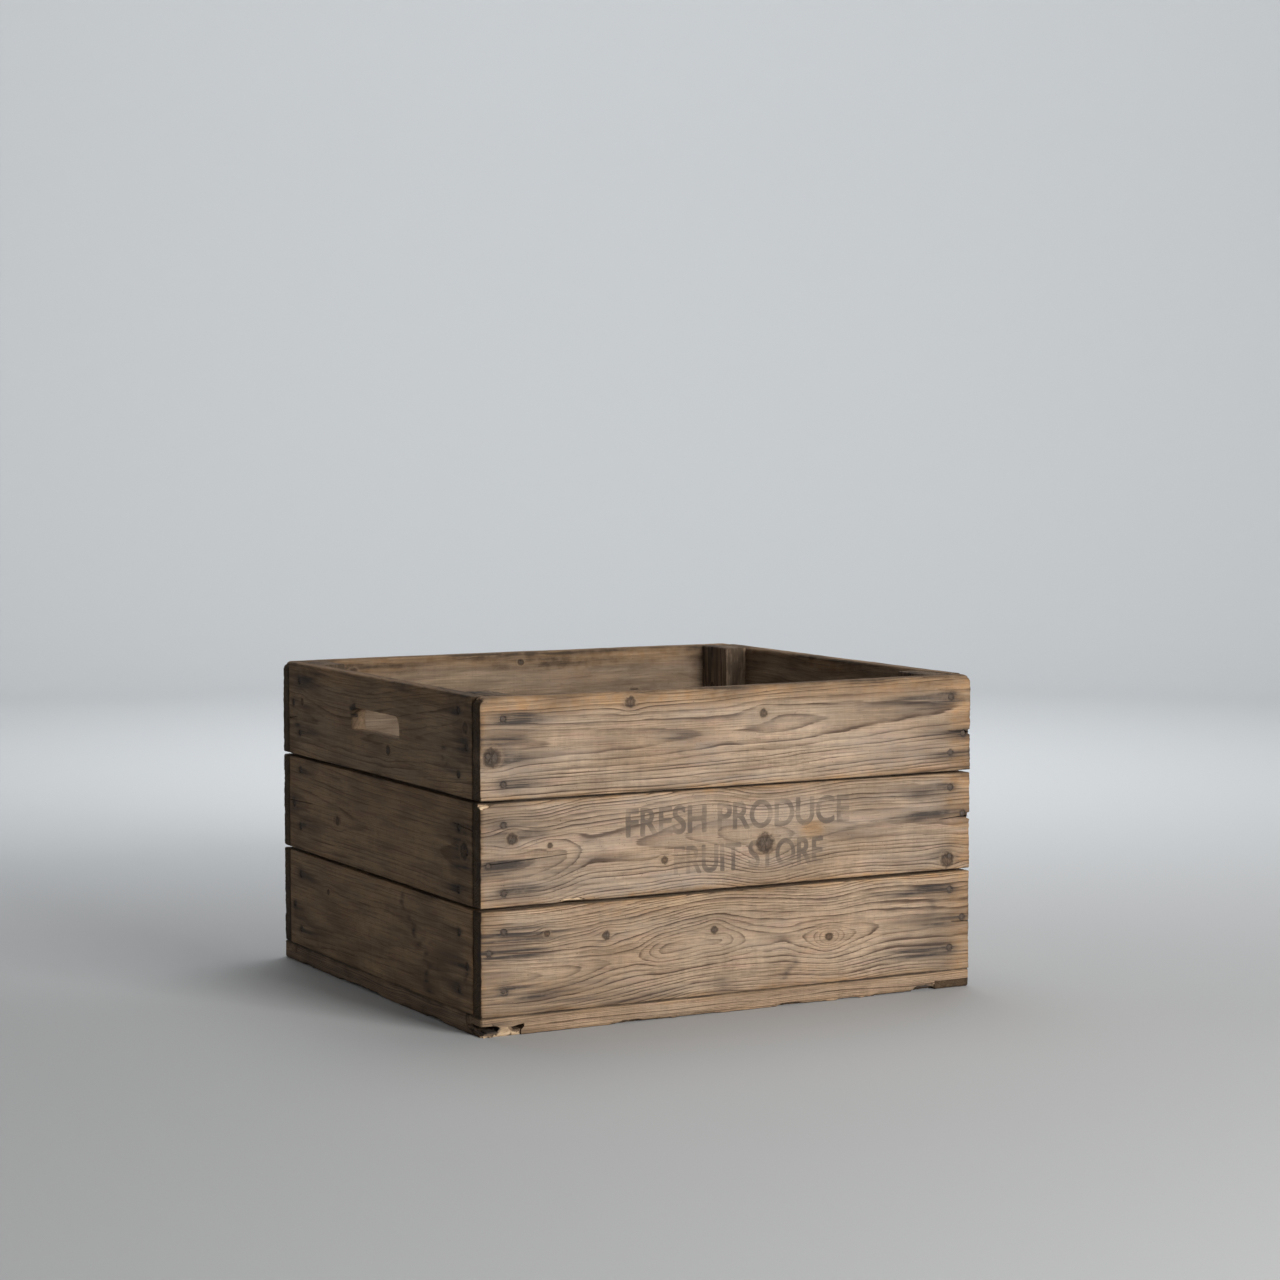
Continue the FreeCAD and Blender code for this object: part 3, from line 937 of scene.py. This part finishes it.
def wood_material(name, wood):
    """Weathered softwood: rings, fibres, saw marks, knots, patina, iron stain, dirt, painted shade and
    rubbed edges.
    """
    n = Nodes(name)
    grain = n.attribute("grain", "Vector")
    # The tone's dirt channel and the stain attribute also carry painted shade.
    weather, dirt_and_shade, rubbed = n.split(n.attribute("tone", "Color"))
    end = n.attribute("tone", "Alpha")
    noises = wood_noises(n, grain)
    late = late_wood(n, noises)
    pores = n.times(n.spread(noises.hair, 0.58, 0.72), wood.fleck)
    spots = n.times(n.spread(n.noise(grain, 0.55, detail=2.0), 0.68, 0.75), 0.6)
    far, heart, checks = knot_pattern(n, noises, grain)

    colour = sawn_wood(n, noises, late, wood)
    colour = with_skin(n, noises, late, wood, colour, weather)
    colour = with_rubbing(n, noises, late, wood, colour, rubbed)
    colour = with_dirt_and_shade(n, noises, wood, colour, pores, spots, dirt_and_shade)
    colour = n.mix(n.times(end, n.spread(noises.grit, 0.35, 0.6, 0.98, 0.72), clamp=True), colour, END_GRAIN)
    colour = with_iron_stain_and_shade(n, noises, colour)
    colour = with_stencil(n, noises, colour)
    colour = with_knots(n, noises, wood, colour, far, heart, checks)
    bared = n.mix(n.times(late, 0.6, clamp=True), *BARED_WOOD)
    colour = n.mix(n.spread(rubbed, 1.05, 1.6), colour, bared)
    n.put(n.bsdf.inputs["Base Color"], colour)

    rough = n.times_plus(rubbed, -0.07, n.spread(noises.fibre, 0.3, 0.7, 0.93, 0.76))
    n.put(n.bsdf.inputs["Roughness"], rough)
    n.bsdf.inputs["Specular IOR Level"].default_value = 0.12
    height = n.times_plus(noises.fibre, 0.8, n.times(noises.hair, 0.35))
    for pattern, share in ((late, 0.25), (noises.saw, 0.12), (pores, -0.5), (n.times(heart, checks), -0.6)):
        height = n.times_plus(pattern, share, height)
    height = n.times_plus(noises.grit, n.times_plus(end, 0.9, 0.15), height)
    n.put(n.bsdf.inputs["Normal"], n.bump(height, 0.0004, 0.8))
    return n.material


def iron_material(name, bare, rusty, pit):
    """Old wire nails: dark iron under brown rust."""
    n = Nodes(name)
    coordinates = n.tree.nodes.new("ShaderNodeTexCoord").outputs["Object"]
    rust = n.noise(coordinates, 900.0, detail=4.0, roughness=0.65)
    grain = n.noise(coordinates, 3500.0, detail=3.0, roughness=0.6)
    bloom = n.spread(rust, 0.38, 0.62)
    colour = n.mix(bloom, bare, rusty)
    colour = n.mix(n.spread(grain, 0.45, 0.7), colour, pit)
    n.put(n.bsdf.inputs["Base Color"], colour)
    n.put(n.bsdf.inputs["Roughness"], n.spread(rust, 0.3, 0.7, 0.55, 0.92))
    n.bsdf.inputs["Metallic"].default_value = 0.1
    n.put(n.bsdf.inputs["Normal"], n.bump(n.plus(rust, grain), 0.0002))
    return n.material


MATERIALS = {
    "wall": wood_material("weathered_softwood", Wood(
        (0.425, 0.312, 0.208), (0.096, 0.058, 0.037), (0.345, 0.290, 0.250), (0.425, 0.238, 0.105), 1.2, 0.8,
    )),
    "side": wood_material("brown_softwood", Wood(
        (0.390, 0.262, 0.155), (0.085, 0.047, 0.026), (0.300, 0.235, 0.172), (0.360, 0.205, 0.095), 1.0, 0.8,
    )),
    "post": wood_material("dark_softwood", Wood(
        (0.42, 0.310, 0.215), (0.12, 0.077, 0.050), (0.29, 0.250, 0.21), (0.30, 0.185, 0.10), 0.8, 0.5,
    )),
    "floor": wood_material("worn_softwood", Wood(
        (0.31, 0.23, 0.155), (0.11, 0.070, 0.045), (0.25, 0.215, 0.18), (0.30, 0.19, 0.105), 0.9, 0.6,
    )),
    "base": wood_material("pale_softwood", Wood(
        (0.43, 0.298, 0.19), (0.13, 0.082, 0.05), (0.33, 0.285, 0.24), (0.38, 0.245, 0.135), 1.45, 1.0,
    )),
}
IRON = iron_material("rusty_iron", (0.058, 0.043, 0.033), (0.105, 0.070, 0.048), (0.032, 0.024, 0.018))
DARK_IRON = iron_material("dark_iron", (0.040, 0.030, 0.024), (0.075, 0.048, 0.032), (0.022, 0.016, 0.013))

# ---- Nails --------------------------------------------------------------------------------------

NAIL_HEAD_R = 2.4
NAIL_SEGMENTS = 18
# Depths below the CAD head's top: the head's middle, its underside, and where the neck ends.
HEAD_MIDDLE = 0.05
HEAD_T = 1.3
NECK_DEPTH = 2.1
# The parts of a head that are wider than this are uneven.
UNEVEN_R = 1.5
# Points nearer each other than this are on one nail: no CAD nail is as wide, and none stand so close.
NAILS_APART = 8.0


def nail_places(node, axis):
    """The middle of each nail of a group, on the plane across its axis, from the CAD node."""
    others = [a for a in range(3) if a != axis]
    points = np.array([v.co[:] for v in frame["nodes"][node].data.vertices])
    found = []
    while len(points):
        near = np.hypot(*(points[:, others] - points[0, others]).T) < NAILS_APART * MM
        group = points[near]
        found.append((group.min(0) + group.max(0)) / 2)
        points = points[~near]
    return found, float(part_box(node)[1][axis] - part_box(node)[0][axis]) / MM


def nail_profile(length):
    """Radius and depth of a nail, from the middle of its head to its point."""
    head = [
        (0.0, 0.45), (1.0, 0.42), (1.75, 0.48), (2.15, 0.62), (NAIL_HEAD_R, 0.95), (2.3, 1.15),
        (2.0, 1.25), (1.5, 1.35),
    ]
    shank = [(1.4, 2.0), (1.38, length * 0.5), (1.4, length - 5.0)]
    point = [(0.9, length - 2.2), (0.15, length)]
    return head + shank + point


def nail_points(profile, squash, lean):
    """One nail along +Z: a ring of points for each step of its profile. Its head is uneven and leans."""
    points = []
    for radius, depth in profile:
        for s in range(NAIL_SEGMENTS):
            angle = 2 * math.pi * s / NAIL_SEGMENTS
            wide = radius * (squash[s] if depth < HEAD_T and radius > UNEVEN_R else 1.0)
            local = Vector((wide * math.cos(angle), wide * math.sin(angle), depth))
            points.append(lean @ local if depth < NECK_DEPTH else local)
    return points


def nail_faces(first, rows):
    """The faces of a nail whose rings start at one point, then its head's middle and its tip."""
    middle = first + rows * NAIL_SEGMENTS
    tip = middle + 1

    def at(row, s):
        return first + row * NAIL_SEGMENTS + s % NAIL_SEGMENTS

    faces = []
    for s in range(NAIL_SEGMENTS):
        for row in range(rows - 1):
            faces.append((at(row, s), at(row, s + 1), at(row + 1, s + 1), at(row + 1, s)))
        faces.append((middle, at(0, s + 1), at(0, s)))
        faces.append((tip, at(rows - 1, s), at(rows - 1, s + 1)))
    return faces


def nail_group(node, axis, sign, iron):
    """All the nails of one group, as one piece; sign is the way they point along their axis."""
    places, length = nail_places(node, axis)
    rng = np.random.default_rng(len(places) * 7 + axis)
    profile = nail_profile(length)
    aim = Vector(AXES["XYZ"[axis]]) * sign
    turn = Vector((0, 0, 1)).rotation_difference(aim).to_matrix()
    ends = [Vector((0, 0, HEAD_MIDDLE)), Vector((0, 0, length))]
    points, faces = [], []
    for place in places:
        lean = Euler((rng.normal(0, 0.05), rng.normal(0, 0.05), rng.uniform(0, 6.28))).to_matrix()
        squash = 1 + 0.07 * rng.normal(size=NAIL_SEGMENTS)
        head = Vector(place)
        head[axis] -= sign * length / 2 * MM
        faces += nail_faces(len(points), len(profile))
        points += [head + turn @ local * MM for local in nail_points(profile, squash, lean) + ends]
    mesh = bpy.data.meshes.new(node + "_iron")
    mesh.from_pydata([tuple(q) for q in points], [], faces)
    mesh.shade_smooth()
    hand_over(mesh, node, "_rusty", iron, "nails")
    return places


NAIL_GROUPS = {
    "nails_front": (1, 1, IRON), "nails_back": (1, -1, IRON), "nails_left": (0, 1, DARK_IRON),
    "nails_right": (0, -1, DARK_IRON), "nails_floor": (2, -1, DARK_IRON), "nails_base": (2, 1, DARK_IRON),
}

# ---- The pieces ---------------------------------------------------------------------------------

# Each side's axis along its face, from left to right as seen from outside, and its seed.
SIDES = {"front": ("+X", 100), "back": ("-X", 200), "left": ("-Y", 300), "right": ("+Y", 400)}
# Gaps of the lattice along u, v and w, wider on the plainer pieces.
PLAIN_STEPS = (3.2, 1.15, 2.0)
POST_STEPS = (3.0, 1.3, 1.5)
FLOOR_STEPS = (4.0, 1.7, 2.4)

MARKS = {
    "board_front_top": dict(
        ring=3.5, pith=22.0, lean=0.0, spread=24, grey=0.56, warm=0.26, rim_r=2.2, bow=(-0.7, 0.3),
        axis=((0, 46), (75, 47), (225, 49), (300, 53), (400, 57), (500, 59)),
        count=(
            (0, -1.5), (75, -1.0), (175, -0.4), (225, 0.0), (243, 0.06), (262, -0.12), (300, -0.5),
            (328, -0.2), (345, 0.05), (400, 0.45), (450, 0.7), (490, 1.0), (500, 1.1),
        ),
        knots=[Knot(144, 79, 4.2), Knot(278, 63, 3.4, 2.6), Knot(11, 37, 7.0, 1.8)],
        cracks=[Crack("right", 35, 26, 2, 0.7)],
        chips=[Chip((500, 35, 3), (5, 3, 12), (-2.2, 0, 0))],
        warm_ends=(0.15, 1.2),
        rubs=[
            (0, 82, 4, 20, 1.8), (20, 96, 40, 9, 0.9), (489, 72, 14, 24, 1.2), (120, 96, 60, 7, 0.5),
            (300, 94, 120, 7, 0.4),
        ],
        stains_and_shade=[
            (452, 66, 50, 5, 0.45), (478, 38, 28, 4.5, 0.55), (425, 56, 60, 7, 0.25), (470, 18, 36, 4, 0.35),
            (40, 71, 26, 6, 0.6), (24, 50, 26, 8, 0.4), (20, 36, 28, 7, 0.5), (42, 13, 20, 5, 0.45),
            (195, 49, 34, 5, 0.30), (300, 58, 60, 5, 0.10),
        ],
    ),
    "board_front_middle": dict(
        ring=3.0, pith=26.0, lean=0.0, spread=24, grey=0.60, warm=0.22, bow=(0.3, 0.2),
        axis=((0, 36), (60, 38), (100, 44), (150, 46), (230, 50), (280, 42), (340, 47), (500, 46)),
        count=(
            (0, -2.6), (52, -2.0), (84, -1.0), (97, 0.0), (120, 0.35), (150, 0.0), (197, -1.0), (228, -2.0),
            (252, -2.8), (272, -2.94), (292, -2.65), (312, -2.0), (345, -1.45), (500, -1.3),
        ),
        knots=[
            Knot(280, 37.5, 7.8, 2.0), Knot(475, 9, 6.0, 1.9), Knot(178, 29.5, 3.0, 2.0),
            Knot(30, 58, 4.4, 2.6), Knot(66, 50, 2.2, 2.4),
        ],
        cracks=[Crack("left", 37, 88, 5, 0.25), Crack("right", 49, 34, -2, 0.7)],
        chips=[
            Chip((2, 89, 0), (8, 3.5, 5), (0, -1.6, 1.4), 0.8),
            Chip((88, 0, 0), (16, 2.6, 4), (0, 1.2, 1.2), 0.9),
            Chip((500, 49, 4), (5, 3.5, 14), (-2.8, 0, 0)),
        ],
        warm_ends=(0.2, 1.2), stencil=STENCIL,
        rubs=[(329, 47, 10, 7, 1.3), (484, 70, 16, 12, 0.7)],
        stains_and_shade=[
            (462, 51, 42, 5, 0.8), (478, 15, 16, 9, 0.6), (455, 72, 36, 4, 0.5), (22, 38, 26, 6, 0.55),
            (45, 16, 30, 6, 0.5), (34, 64, 30, 9, 0.5), (14, 27, 16, 10, 0.4), (60, 30, 40, 8, 0.25),
            (420, 40, 60, 6, 0.15), (205, 60, 40, 14, 0.12),
        ],
    ),
    "board_front_lower": dict(
        ring=2.7, pith=20.0, lean=0.0, spread=19, grey=0.40, warm=0.34, bow=(-0.2, -0.2),
        axis=(
            (0, 34), (61, 32), (98, 35), (125, 38), (180, 44), (228, 50), (290, 46), (347, 42),
            (400, 46), (500, 46),
        ),
        count=(
            (0, -3.0), (61, -2.0), (98, -1.0), (127, 0.0), (138, 0.08), (150, 0.0), (162, -1.0), (172, -2.0),
            (192, -2.5), (220, -2.3), (236, -2.0), (248, -1.0), (262, 0.0), (285, 0.5), (302, 0.75),
            (318, 0.0), (347, -0.5), (378, 0.0), (402, 1.0), (440, 1.4), (500, 1.7),
        ),
        eyes=[(347, 42, 14, 10.5, 2.9)],
        knots=[Knot(63, 68, 2.6), Knot(120, 62, 3.4, 2.4), Knot(228, 58, 3.2, 2.6), Knot(347, 42, 3.2, 1.6)],
        cracks=[Crack("right", 44, 20, 1, 0.5)],
        warm_ends=(0.3, 1.1),
        rubs=[(60, 22, 50, 10, 0.3), (200, 82, 90, 6, 0.4)],
        stains_and_shade=[
            (34, 68, 46, 7, 0.6), (20, 53, 42, 5, 0.8), (50, 18, 50, 8, 0.45), (232, 7, 10, 6, 0.5),
            (448, 75, 36, 4.5, 0.65), (455, 47, 40, 5, 0.65), (450, 19, 40, 5, 0.65), (110, 5, 80, 6, 0.4),
            (12, 32, 20, 12, 0.35), (452, 64, 5, 10, 0.35), (300, 15, 3, 12, 0.35), (400, 75, 20, 4, 0.3),
        ],
    ),
    "board_left_top": dict(
        ring=3.2, pith=24.0, grey=0.40, warm=0.1, dirt_and_shade=0.34, material="side", clear=0.55,
        axis=((0, 40), (150, 30), (300, 40), (415, 52)), slot=True, rim_r=2.2,
        count=((0, 0.4), (120, 1.2), (260, 0.3), (415, -1.2)),
        knots=[Knot(238, 25, 4.0, 2.2), Knot(34, 52, 3.0), Knot(401, 60, 4.4, 2.0)],
        cracks=[Crack("left", 34, 20, 3, 0.5)],
        # The strong blot at u 157, v 53 is a painted shadow: the slot's top edge shading the outer upper
        # part of its far end.
        stains_and_shade=[
            (30, 66, 30, 8, 0.3), (385, 45, 30, 16, 0.3), (200, 8, 120, 6, 0.15), (157, 53, 4, 7, 1.5),
            (348, 28, 3, 2, 0.8), (360, 24, 2, 2, 0.8), (352, 38, 4, 2, 0.6), (20, 28, 4, 3, 0.7),
        ],
    ),
    "board_left_middle": dict(
        ring=3.6, pith=22.0, grey=0.20, warm=0.45, dirt_and_shade=0.36, material="side", clear=0.5,
        axis=((0, 44), (200, 40), (415, 38)), count=((0, -0.5), (110, 0.4), (300, 1.3), (415, 0.4)),
        knots=[Knot(120, 39, 3.6, 2.4, 0.8), Knot(398, 46, 6.5, 2.0, 0.8)],
        cracks=[Crack("left", 46, 60, 2, 0.4), Crack("right", 65, 40, 3, 0.5)],
        stains_and_shade=[(30, 34, 40, 7, 0.3), (395, 40, 16, 22, 0.35)],
    ),
    "board_left_lower": dict(
        ring=3.6, pith=30.0, grey=0.20, warm=0.42, dirt_and_shade=0.31, material="side", clear=0.42,
        axis=((0, 40), (200, 44), (415, 50)), count=((0, -1.0), (150, 0.2), (300, 0.9), (415, 1.6)),
        knots=[Knot(96, 62, 2.4)],
        stains_and_shade=[
            (350, 38, 26, 20, 0.2), (30, 20, 40, 9, 0.3), (385, 20, 20, 20, 0.3), (270, 78, 4, 9, 0.45),
            (282, 66, 7, 4, 0.45), (292, 55, 4, 7, 0.45), (306, 46, 8, 3.5, 0.4), (320, 36, 4, 8, 0.5),
            (318, 18, 4, 9, 0.45), (330, 8, 10, 3.5, 0.4), (398, 30, 3, 4, 0.8), (300, 12, 60, 12, 0.1),
        ],
    ),
    "board_back_top": dict(
        grey=0.62, dirt_and_shade=0.16, inside_dirt=0.32, rim_r=2.2, clear=0.6,
        knots=[Knot(432, 74, 4.6, 2.2), Knot(250, 78, 3.0), Knot(120, 40, 6.0, 2.2, 1.0)],
        cracks=[Crack("left", 30, 60, 3, 0.6)],
    ),
    "board_back_middle": dict(dirt_and_shade=0.2, knots=[Knot(90, 40, 6.0, 2.2, 0.8), Knot(360, 60, 4.0)]),
    "board_back_lower": dict(
        dirt_and_shade=0.22, knots=[Knot(200, 30, 7.0, 2.2, 1.0), Knot(405, 66, 3.0)],
        cracks=[Crack("right", 52, 70, -3, 0.6)],
    ),
    "board_right_top": dict(
        slot=True, dirt_and_shade=0.14, inside_dirt=0.3, rim_r=2.2,
        knots=[Knot(90, 66, 5.0, 2.2, 0.6), Knot(330, 20, 4.0)],
    ),
    "board_right_middle": dict(knots=[Knot(250, 52, 6.5, 2.2, 1.2)], cracks=[Crack("left", 60, 50, 2, 0.5)]),
    "board_right_lower": dict(dirt_and_shade=0.16, knots=[Knot(60, 30, 4.0), Knot(310, 55, 5.5, 2.2, 0.8)]),
}


# The broken half laps of the base frame: the strip's ends hang over the runners' worn tongues.
BASE_CHIPS = {
    "front": [
        Chip((0, LAP_Z, 0), (19, 3.5, 24), (0, 2.0, 0)),
        Chip((RUNNER_W, LAP_Z, 4), (7, 4, 20), (3.0, 1.6, 0)),
        Chip((452, 0, 0), (16, 6, 10), (0, 3.0, 1.6)),
    ],
    "left": [
        Chip((445, LAP_Z, 7), (34, 6, 11), (0, -3.4, 0)),
        Chip((445, LAP_Z, 37), (30, 5, 9), (0, -3.0, 0)),
        Chip((445, 2, 3), (5, 3, 8), (-1.0, 0, 0), 0.6),
        Chip((445, 1.5, 14), (5, 2.5, 3.5), (-0.6, 0, 0), 0.9),
        Chip((445, 4, 22), (4, 7, 8), (0, 0, 0), 0.52),
        Chip((445, 1, 34), (3, 4, 8), (0, 0, 0), 0.45),
        Chip((438, LAP_Z, 0), (22, 8, 7), (0, -1.0, 2.5)),
    ],
}
# Dark marks in the voids of the broken laps and under the front strip's right end: painted shade, partly
# dirt on the left runner.
BASE_SHADE_MARKS = {
    "front": [(6, 9, 13, 1.6, 0.9), (455, 0, 14, 4, 0.7)],
    "left": [(436, 7.5, 12, 2.6, 1.0), (430, 14, 16, 5, 0.6)],
}


BASE_LOOK = dict(material="base", slot_name="base_frame", steps=(2.0, 0.9, 1.4), relief=0.06, edge_r=1.3)


def slot_hole(length, height):
    """The lattice cells that the hand slot takes out of a board."""
    half_u, half_v = SLOT["length"] / 2 - SLOT["bulge"], SLOT["height"] / 2
    middle_u, middle_v = length / 2, height / 2 + SLOT["above_middle"]
    return ((middle_u - half_u, middle_u + half_u), (middle_v - half_v, middle_v + half_v), (-1.0, 99.0))


def wall_pieces(nails):
    """The twelve wall boards, each with the nails of its side that lie in it."""
    for side, (along, seed) in SIDES.items():
        for row, course in enumerate(("lower", "middle", "top")):
            node = f"board_{side}_{course}"
            marks = MARKS[node] if side in ("front", "left") else {"steps": PLAIN_STEPS, **MARKS[node]}
            piece = Piece(node, along, "+Z", seed + 10 * row, **marks)
            if piece.slot:
                piece.holes = [slot_hole(piece.size[0], piece.size[1])]
            if course == "top" and side in ("front", "back"):
                piece.corner_r = RIM_CORNER_R
            for place in nails[f"nails_{side}"]:
                u, v, _ = piece.to_local(place)
                if 0 < u < piece.size[0] and 0 < v < piece.size[1]:
                    piece.nails.append((u, v))
            yield piece


def posts(rng):
    for index, name in enumerate(("front_left", "front_right", "back_left", "back_right")):
        knots = [Knot(rng.uniform(60, 220), rng.uniform(12, 36), rng.uniform(3, 5))]
        # A broad dark blot over each post's -X half is painted shade of the shaded -X face, not a stain.
        yield Piece(
            f"post_{name}", "+Z", "+Y", 500 + 10 * index, knots=knots, stains_and_shade=[(200, 30, 130, 17, 0.6)],
            material="post", slot_name="posts", steps=POST_STEPS, dirt_and_shade=0.22, end_dark=0.45,
        )


def floor_boards(rng):
    for index in range(5):
        knots = [
            Knot(rng.uniform(40, 430), rng.uniform(15, 66), rng.uniform(3, 7), 2.2, 0.7)
            for _ in range(3)
        ]
        yield Piece(
            f"floor_board_{index + 1}", "+X", "+Y", 600 + 10 * index, knots=knots,
            material="floor", slot_name="floor_boards", steps=FLOOR_STEPS, dirt_and_shade=0.28, grey=0.35,
        )


def edge_chips(rng, count, stretch, height, depth):
    """Shallow bites out of the lower outer edge of a strip, over a stretch of it."""
    chips = []
    for _ in range(count):
        place = (rng.uniform(*stretch), 0, 0)
        chips.append(Chip(place, (rng.uniform(10, 34), 3.0, 5.0), (0, rng.uniform(*height), depth)))
    return chips


def base_strips(rng):
    """The front and back strips, with the lower halves of both ends cut away."""
    for index, (name, along) in enumerate((("front", "+X"), ("back", "-X"))):
        chips = BASE_CHIPS.get(name, []) + edge_chips(rng, 8, (70, 440), (0.4, 1.2), 0.5)
        piece = Piece(
            f"base_strip_{name}", along, "+Z", 700 + 10 * index, **BASE_LOOK, ring=1.5, grey=0.34, dirt_and_shade=0.2,
            axis=((0, -34), (250, -31), (500, -35)), count=((0, 0), (250, 0.6), (500, 0)), pith=12.0,
            chips=chips, stains_and_shade=BASE_SHADE_MARKS.get(name, []), end_dark=0.3,
        )
        length, _, depth = piece.size
        for low, high in ((-1.0, RUNNER_W), (length - RUNNER_W, length + 1)):
            piece.holes.append(((low, high), (-1.0, LAP_Z), (-1.0, depth + 1)))
        yield piece


def base_runners(rng):
    """The left and right strips, with the upper halves of both ends cut away."""
    for index, (name, along) in enumerate((("left", "-Y"), ("right", "+Y"))):
        chips = BASE_CHIPS.get(name, []) + edge_chips(rng, 7, (40, 400), (0.3, 0.9), 0.4)
        piece = Piece(
            f"base_runner_{name}", along, "+Z", 740 + 10 * index, **BASE_LOOK, ring=1.6, grey=0.3, dirt_and_shade=0.42,
            axis=((0, 46), (220, 43), (445, 47)), count=((0, 0), (220, 0.5), (445, 0)), pith=14.0,
            chips=chips, stains_and_shade=BASE_SHADE_MARKS.get(name, []), end_dark=0.1 if name == "left" else 0.9,
        )
        length, height, depth = piece.size
        for low, high in ((-1.0, STRIP_W), (length - STRIP_W, length + 1)):
            piece.holes.append(((low, high), (LAP_Z, height + 1), (-1.0, depth + 1)))
        yield piece


nails = {node: nail_group(node, *way) for node, way in NAIL_GROUPS.items()}
rng = np.random.default_rng(5)
for pieces in (wall_pieces(nails), posts(rng), floor_boards(rng), base_strips(rng), base_runners(rng)):
    for piece in pieces:
        wooden_mesh(piece)

# ---- Stage, light and camera ----------------------------------------------------------------------


def sweep():
    """A round, pale floor that curves up into a pale wall, well away from the crate."""
    reach, cove, top, turns = 4.2, 1.2, 3.6, 96
    outline = [(0.02, 0.0), (reach - cove, 0.0)]
    outline += [
        (reach - cove + cove * math.sin(a), cove - cove * math.cos(a))
        for a in np.linspace(0, math.pi / 2, 24)[1:]
    ]
    outline.append((reach, top))
    points = [(0.0, 0.0, 0.0)]
    for r, z in outline:
        points += [(r * math.cos(a), r * math.sin(a), z) for a in 2 * math.pi * np.arange(turns) / turns]
    faces = [(0, 1 + i, 1 + (i + 1) % turns) for i in range(turns)]
    for row in range(len(outline) - 1):
        for i in range(turns):
            a, b = 1 + row * turns + i, 1 + row * turns + (i + 1) % turns
            faces.append((a, a + turns, b + turns, b))
    mesh = bpy.data.meshes.new("sweep")
    mesh.from_pydata(points, [], faces)
    mesh.shade_smooth()
    n = Nodes("pale_paper")
    n.bsdf.inputs["Base Color"].default_value = (0.50, 0.51, 0.52, 1.0)
    n.bsdf.inputs["Roughness"].default_value = 0.85
    mesh.materials.append(n.material)
    made = bpy.data.objects.new("sweep", mesh)
    bpy.context.scene.collection.objects.link(made)


def round_crate(azimuth, elevation, far):
    """A place seen from the crate's middle. Azimuth 0 is in front of it and 90 on its right."""
    around, up = math.radians(azimuth), math.radians(elevation)
    way = Vector((math.sin(around) * math.cos(up), -math.cos(around) * math.cos(up), math.sin(up)))
    return CRATE_MIDDLE + far * way


def area_light(name, place, target, size, power, colour=(1.0, 1.0, 1.0)):
    """A soft square light at a place, facing its target."""
    data = bpy.data.lights.new(name, "AREA")
    data.size = size
    data.energy = power
    data.color = colour
    lamp = bpy.data.objects.new(name, data)
    lamp.location = place
    lamp.rotation_euler = (place - target).to_track_quat("Z", "Y").to_euler()
    bpy.context.scene.collection.objects.link(lamp)


CRATE_MIDDLE = (Vector(cad_bounds[0]) + Vector(cad_bounds[1])) / 2
CAMERA_YAW = math.radians(28.493)
CAMERA_PITCH = math.radians(-4.172)
CAMERA_PLACE = (-1.3164, -2.4697, 0.5201)
LENS_MM = 83.50
SENSOR_MM = 36.0


def camera():
    data = bpy.data.cameras.new("camera")
    data.lens = LENS_MM
    data.sensor_width = SENSOR_MM
    made = bpy.data.objects.new("camera", data)
    made.location = CAMERA_PLACE
    made.rotation_euler = (math.pi / 2 + CAMERA_PITCH, 0.0, -CAMERA_YAW)
    bpy.context.scene.collection.objects.link(made)
    bpy.context.scene.camera = made


def world():
    made = bpy.data.worlds.new("studio")
    made.use_nodes = True
    made.node_tree.nodes["Background"].inputs["Color"].default_value = (1.0, 0.88, 0.76, 1.0)
    made.node_tree.nodes["Background"].inputs["Strength"].default_value = 0.05
    bpy.context.scene.world = made


sweep()
area_light("window", round_crate(13, 15, 3.3), CRATE_MIDDLE, 1.2, 112.0, (1.0, 0.985, 0.96))
area_light("overhead", round_crate(150, 68, 3.0), CRATE_MIDDLE, 2.2, 36.0)
area_light("backdrop", round_crate(151.5, 62, 2.6), round_crate(151.5, 8, 4.2), 1.6, 78.0, (0.93, 0.97, 1.0))
camera()
world()
bpy.context.scene.view_settings.view_transform = "Standard"
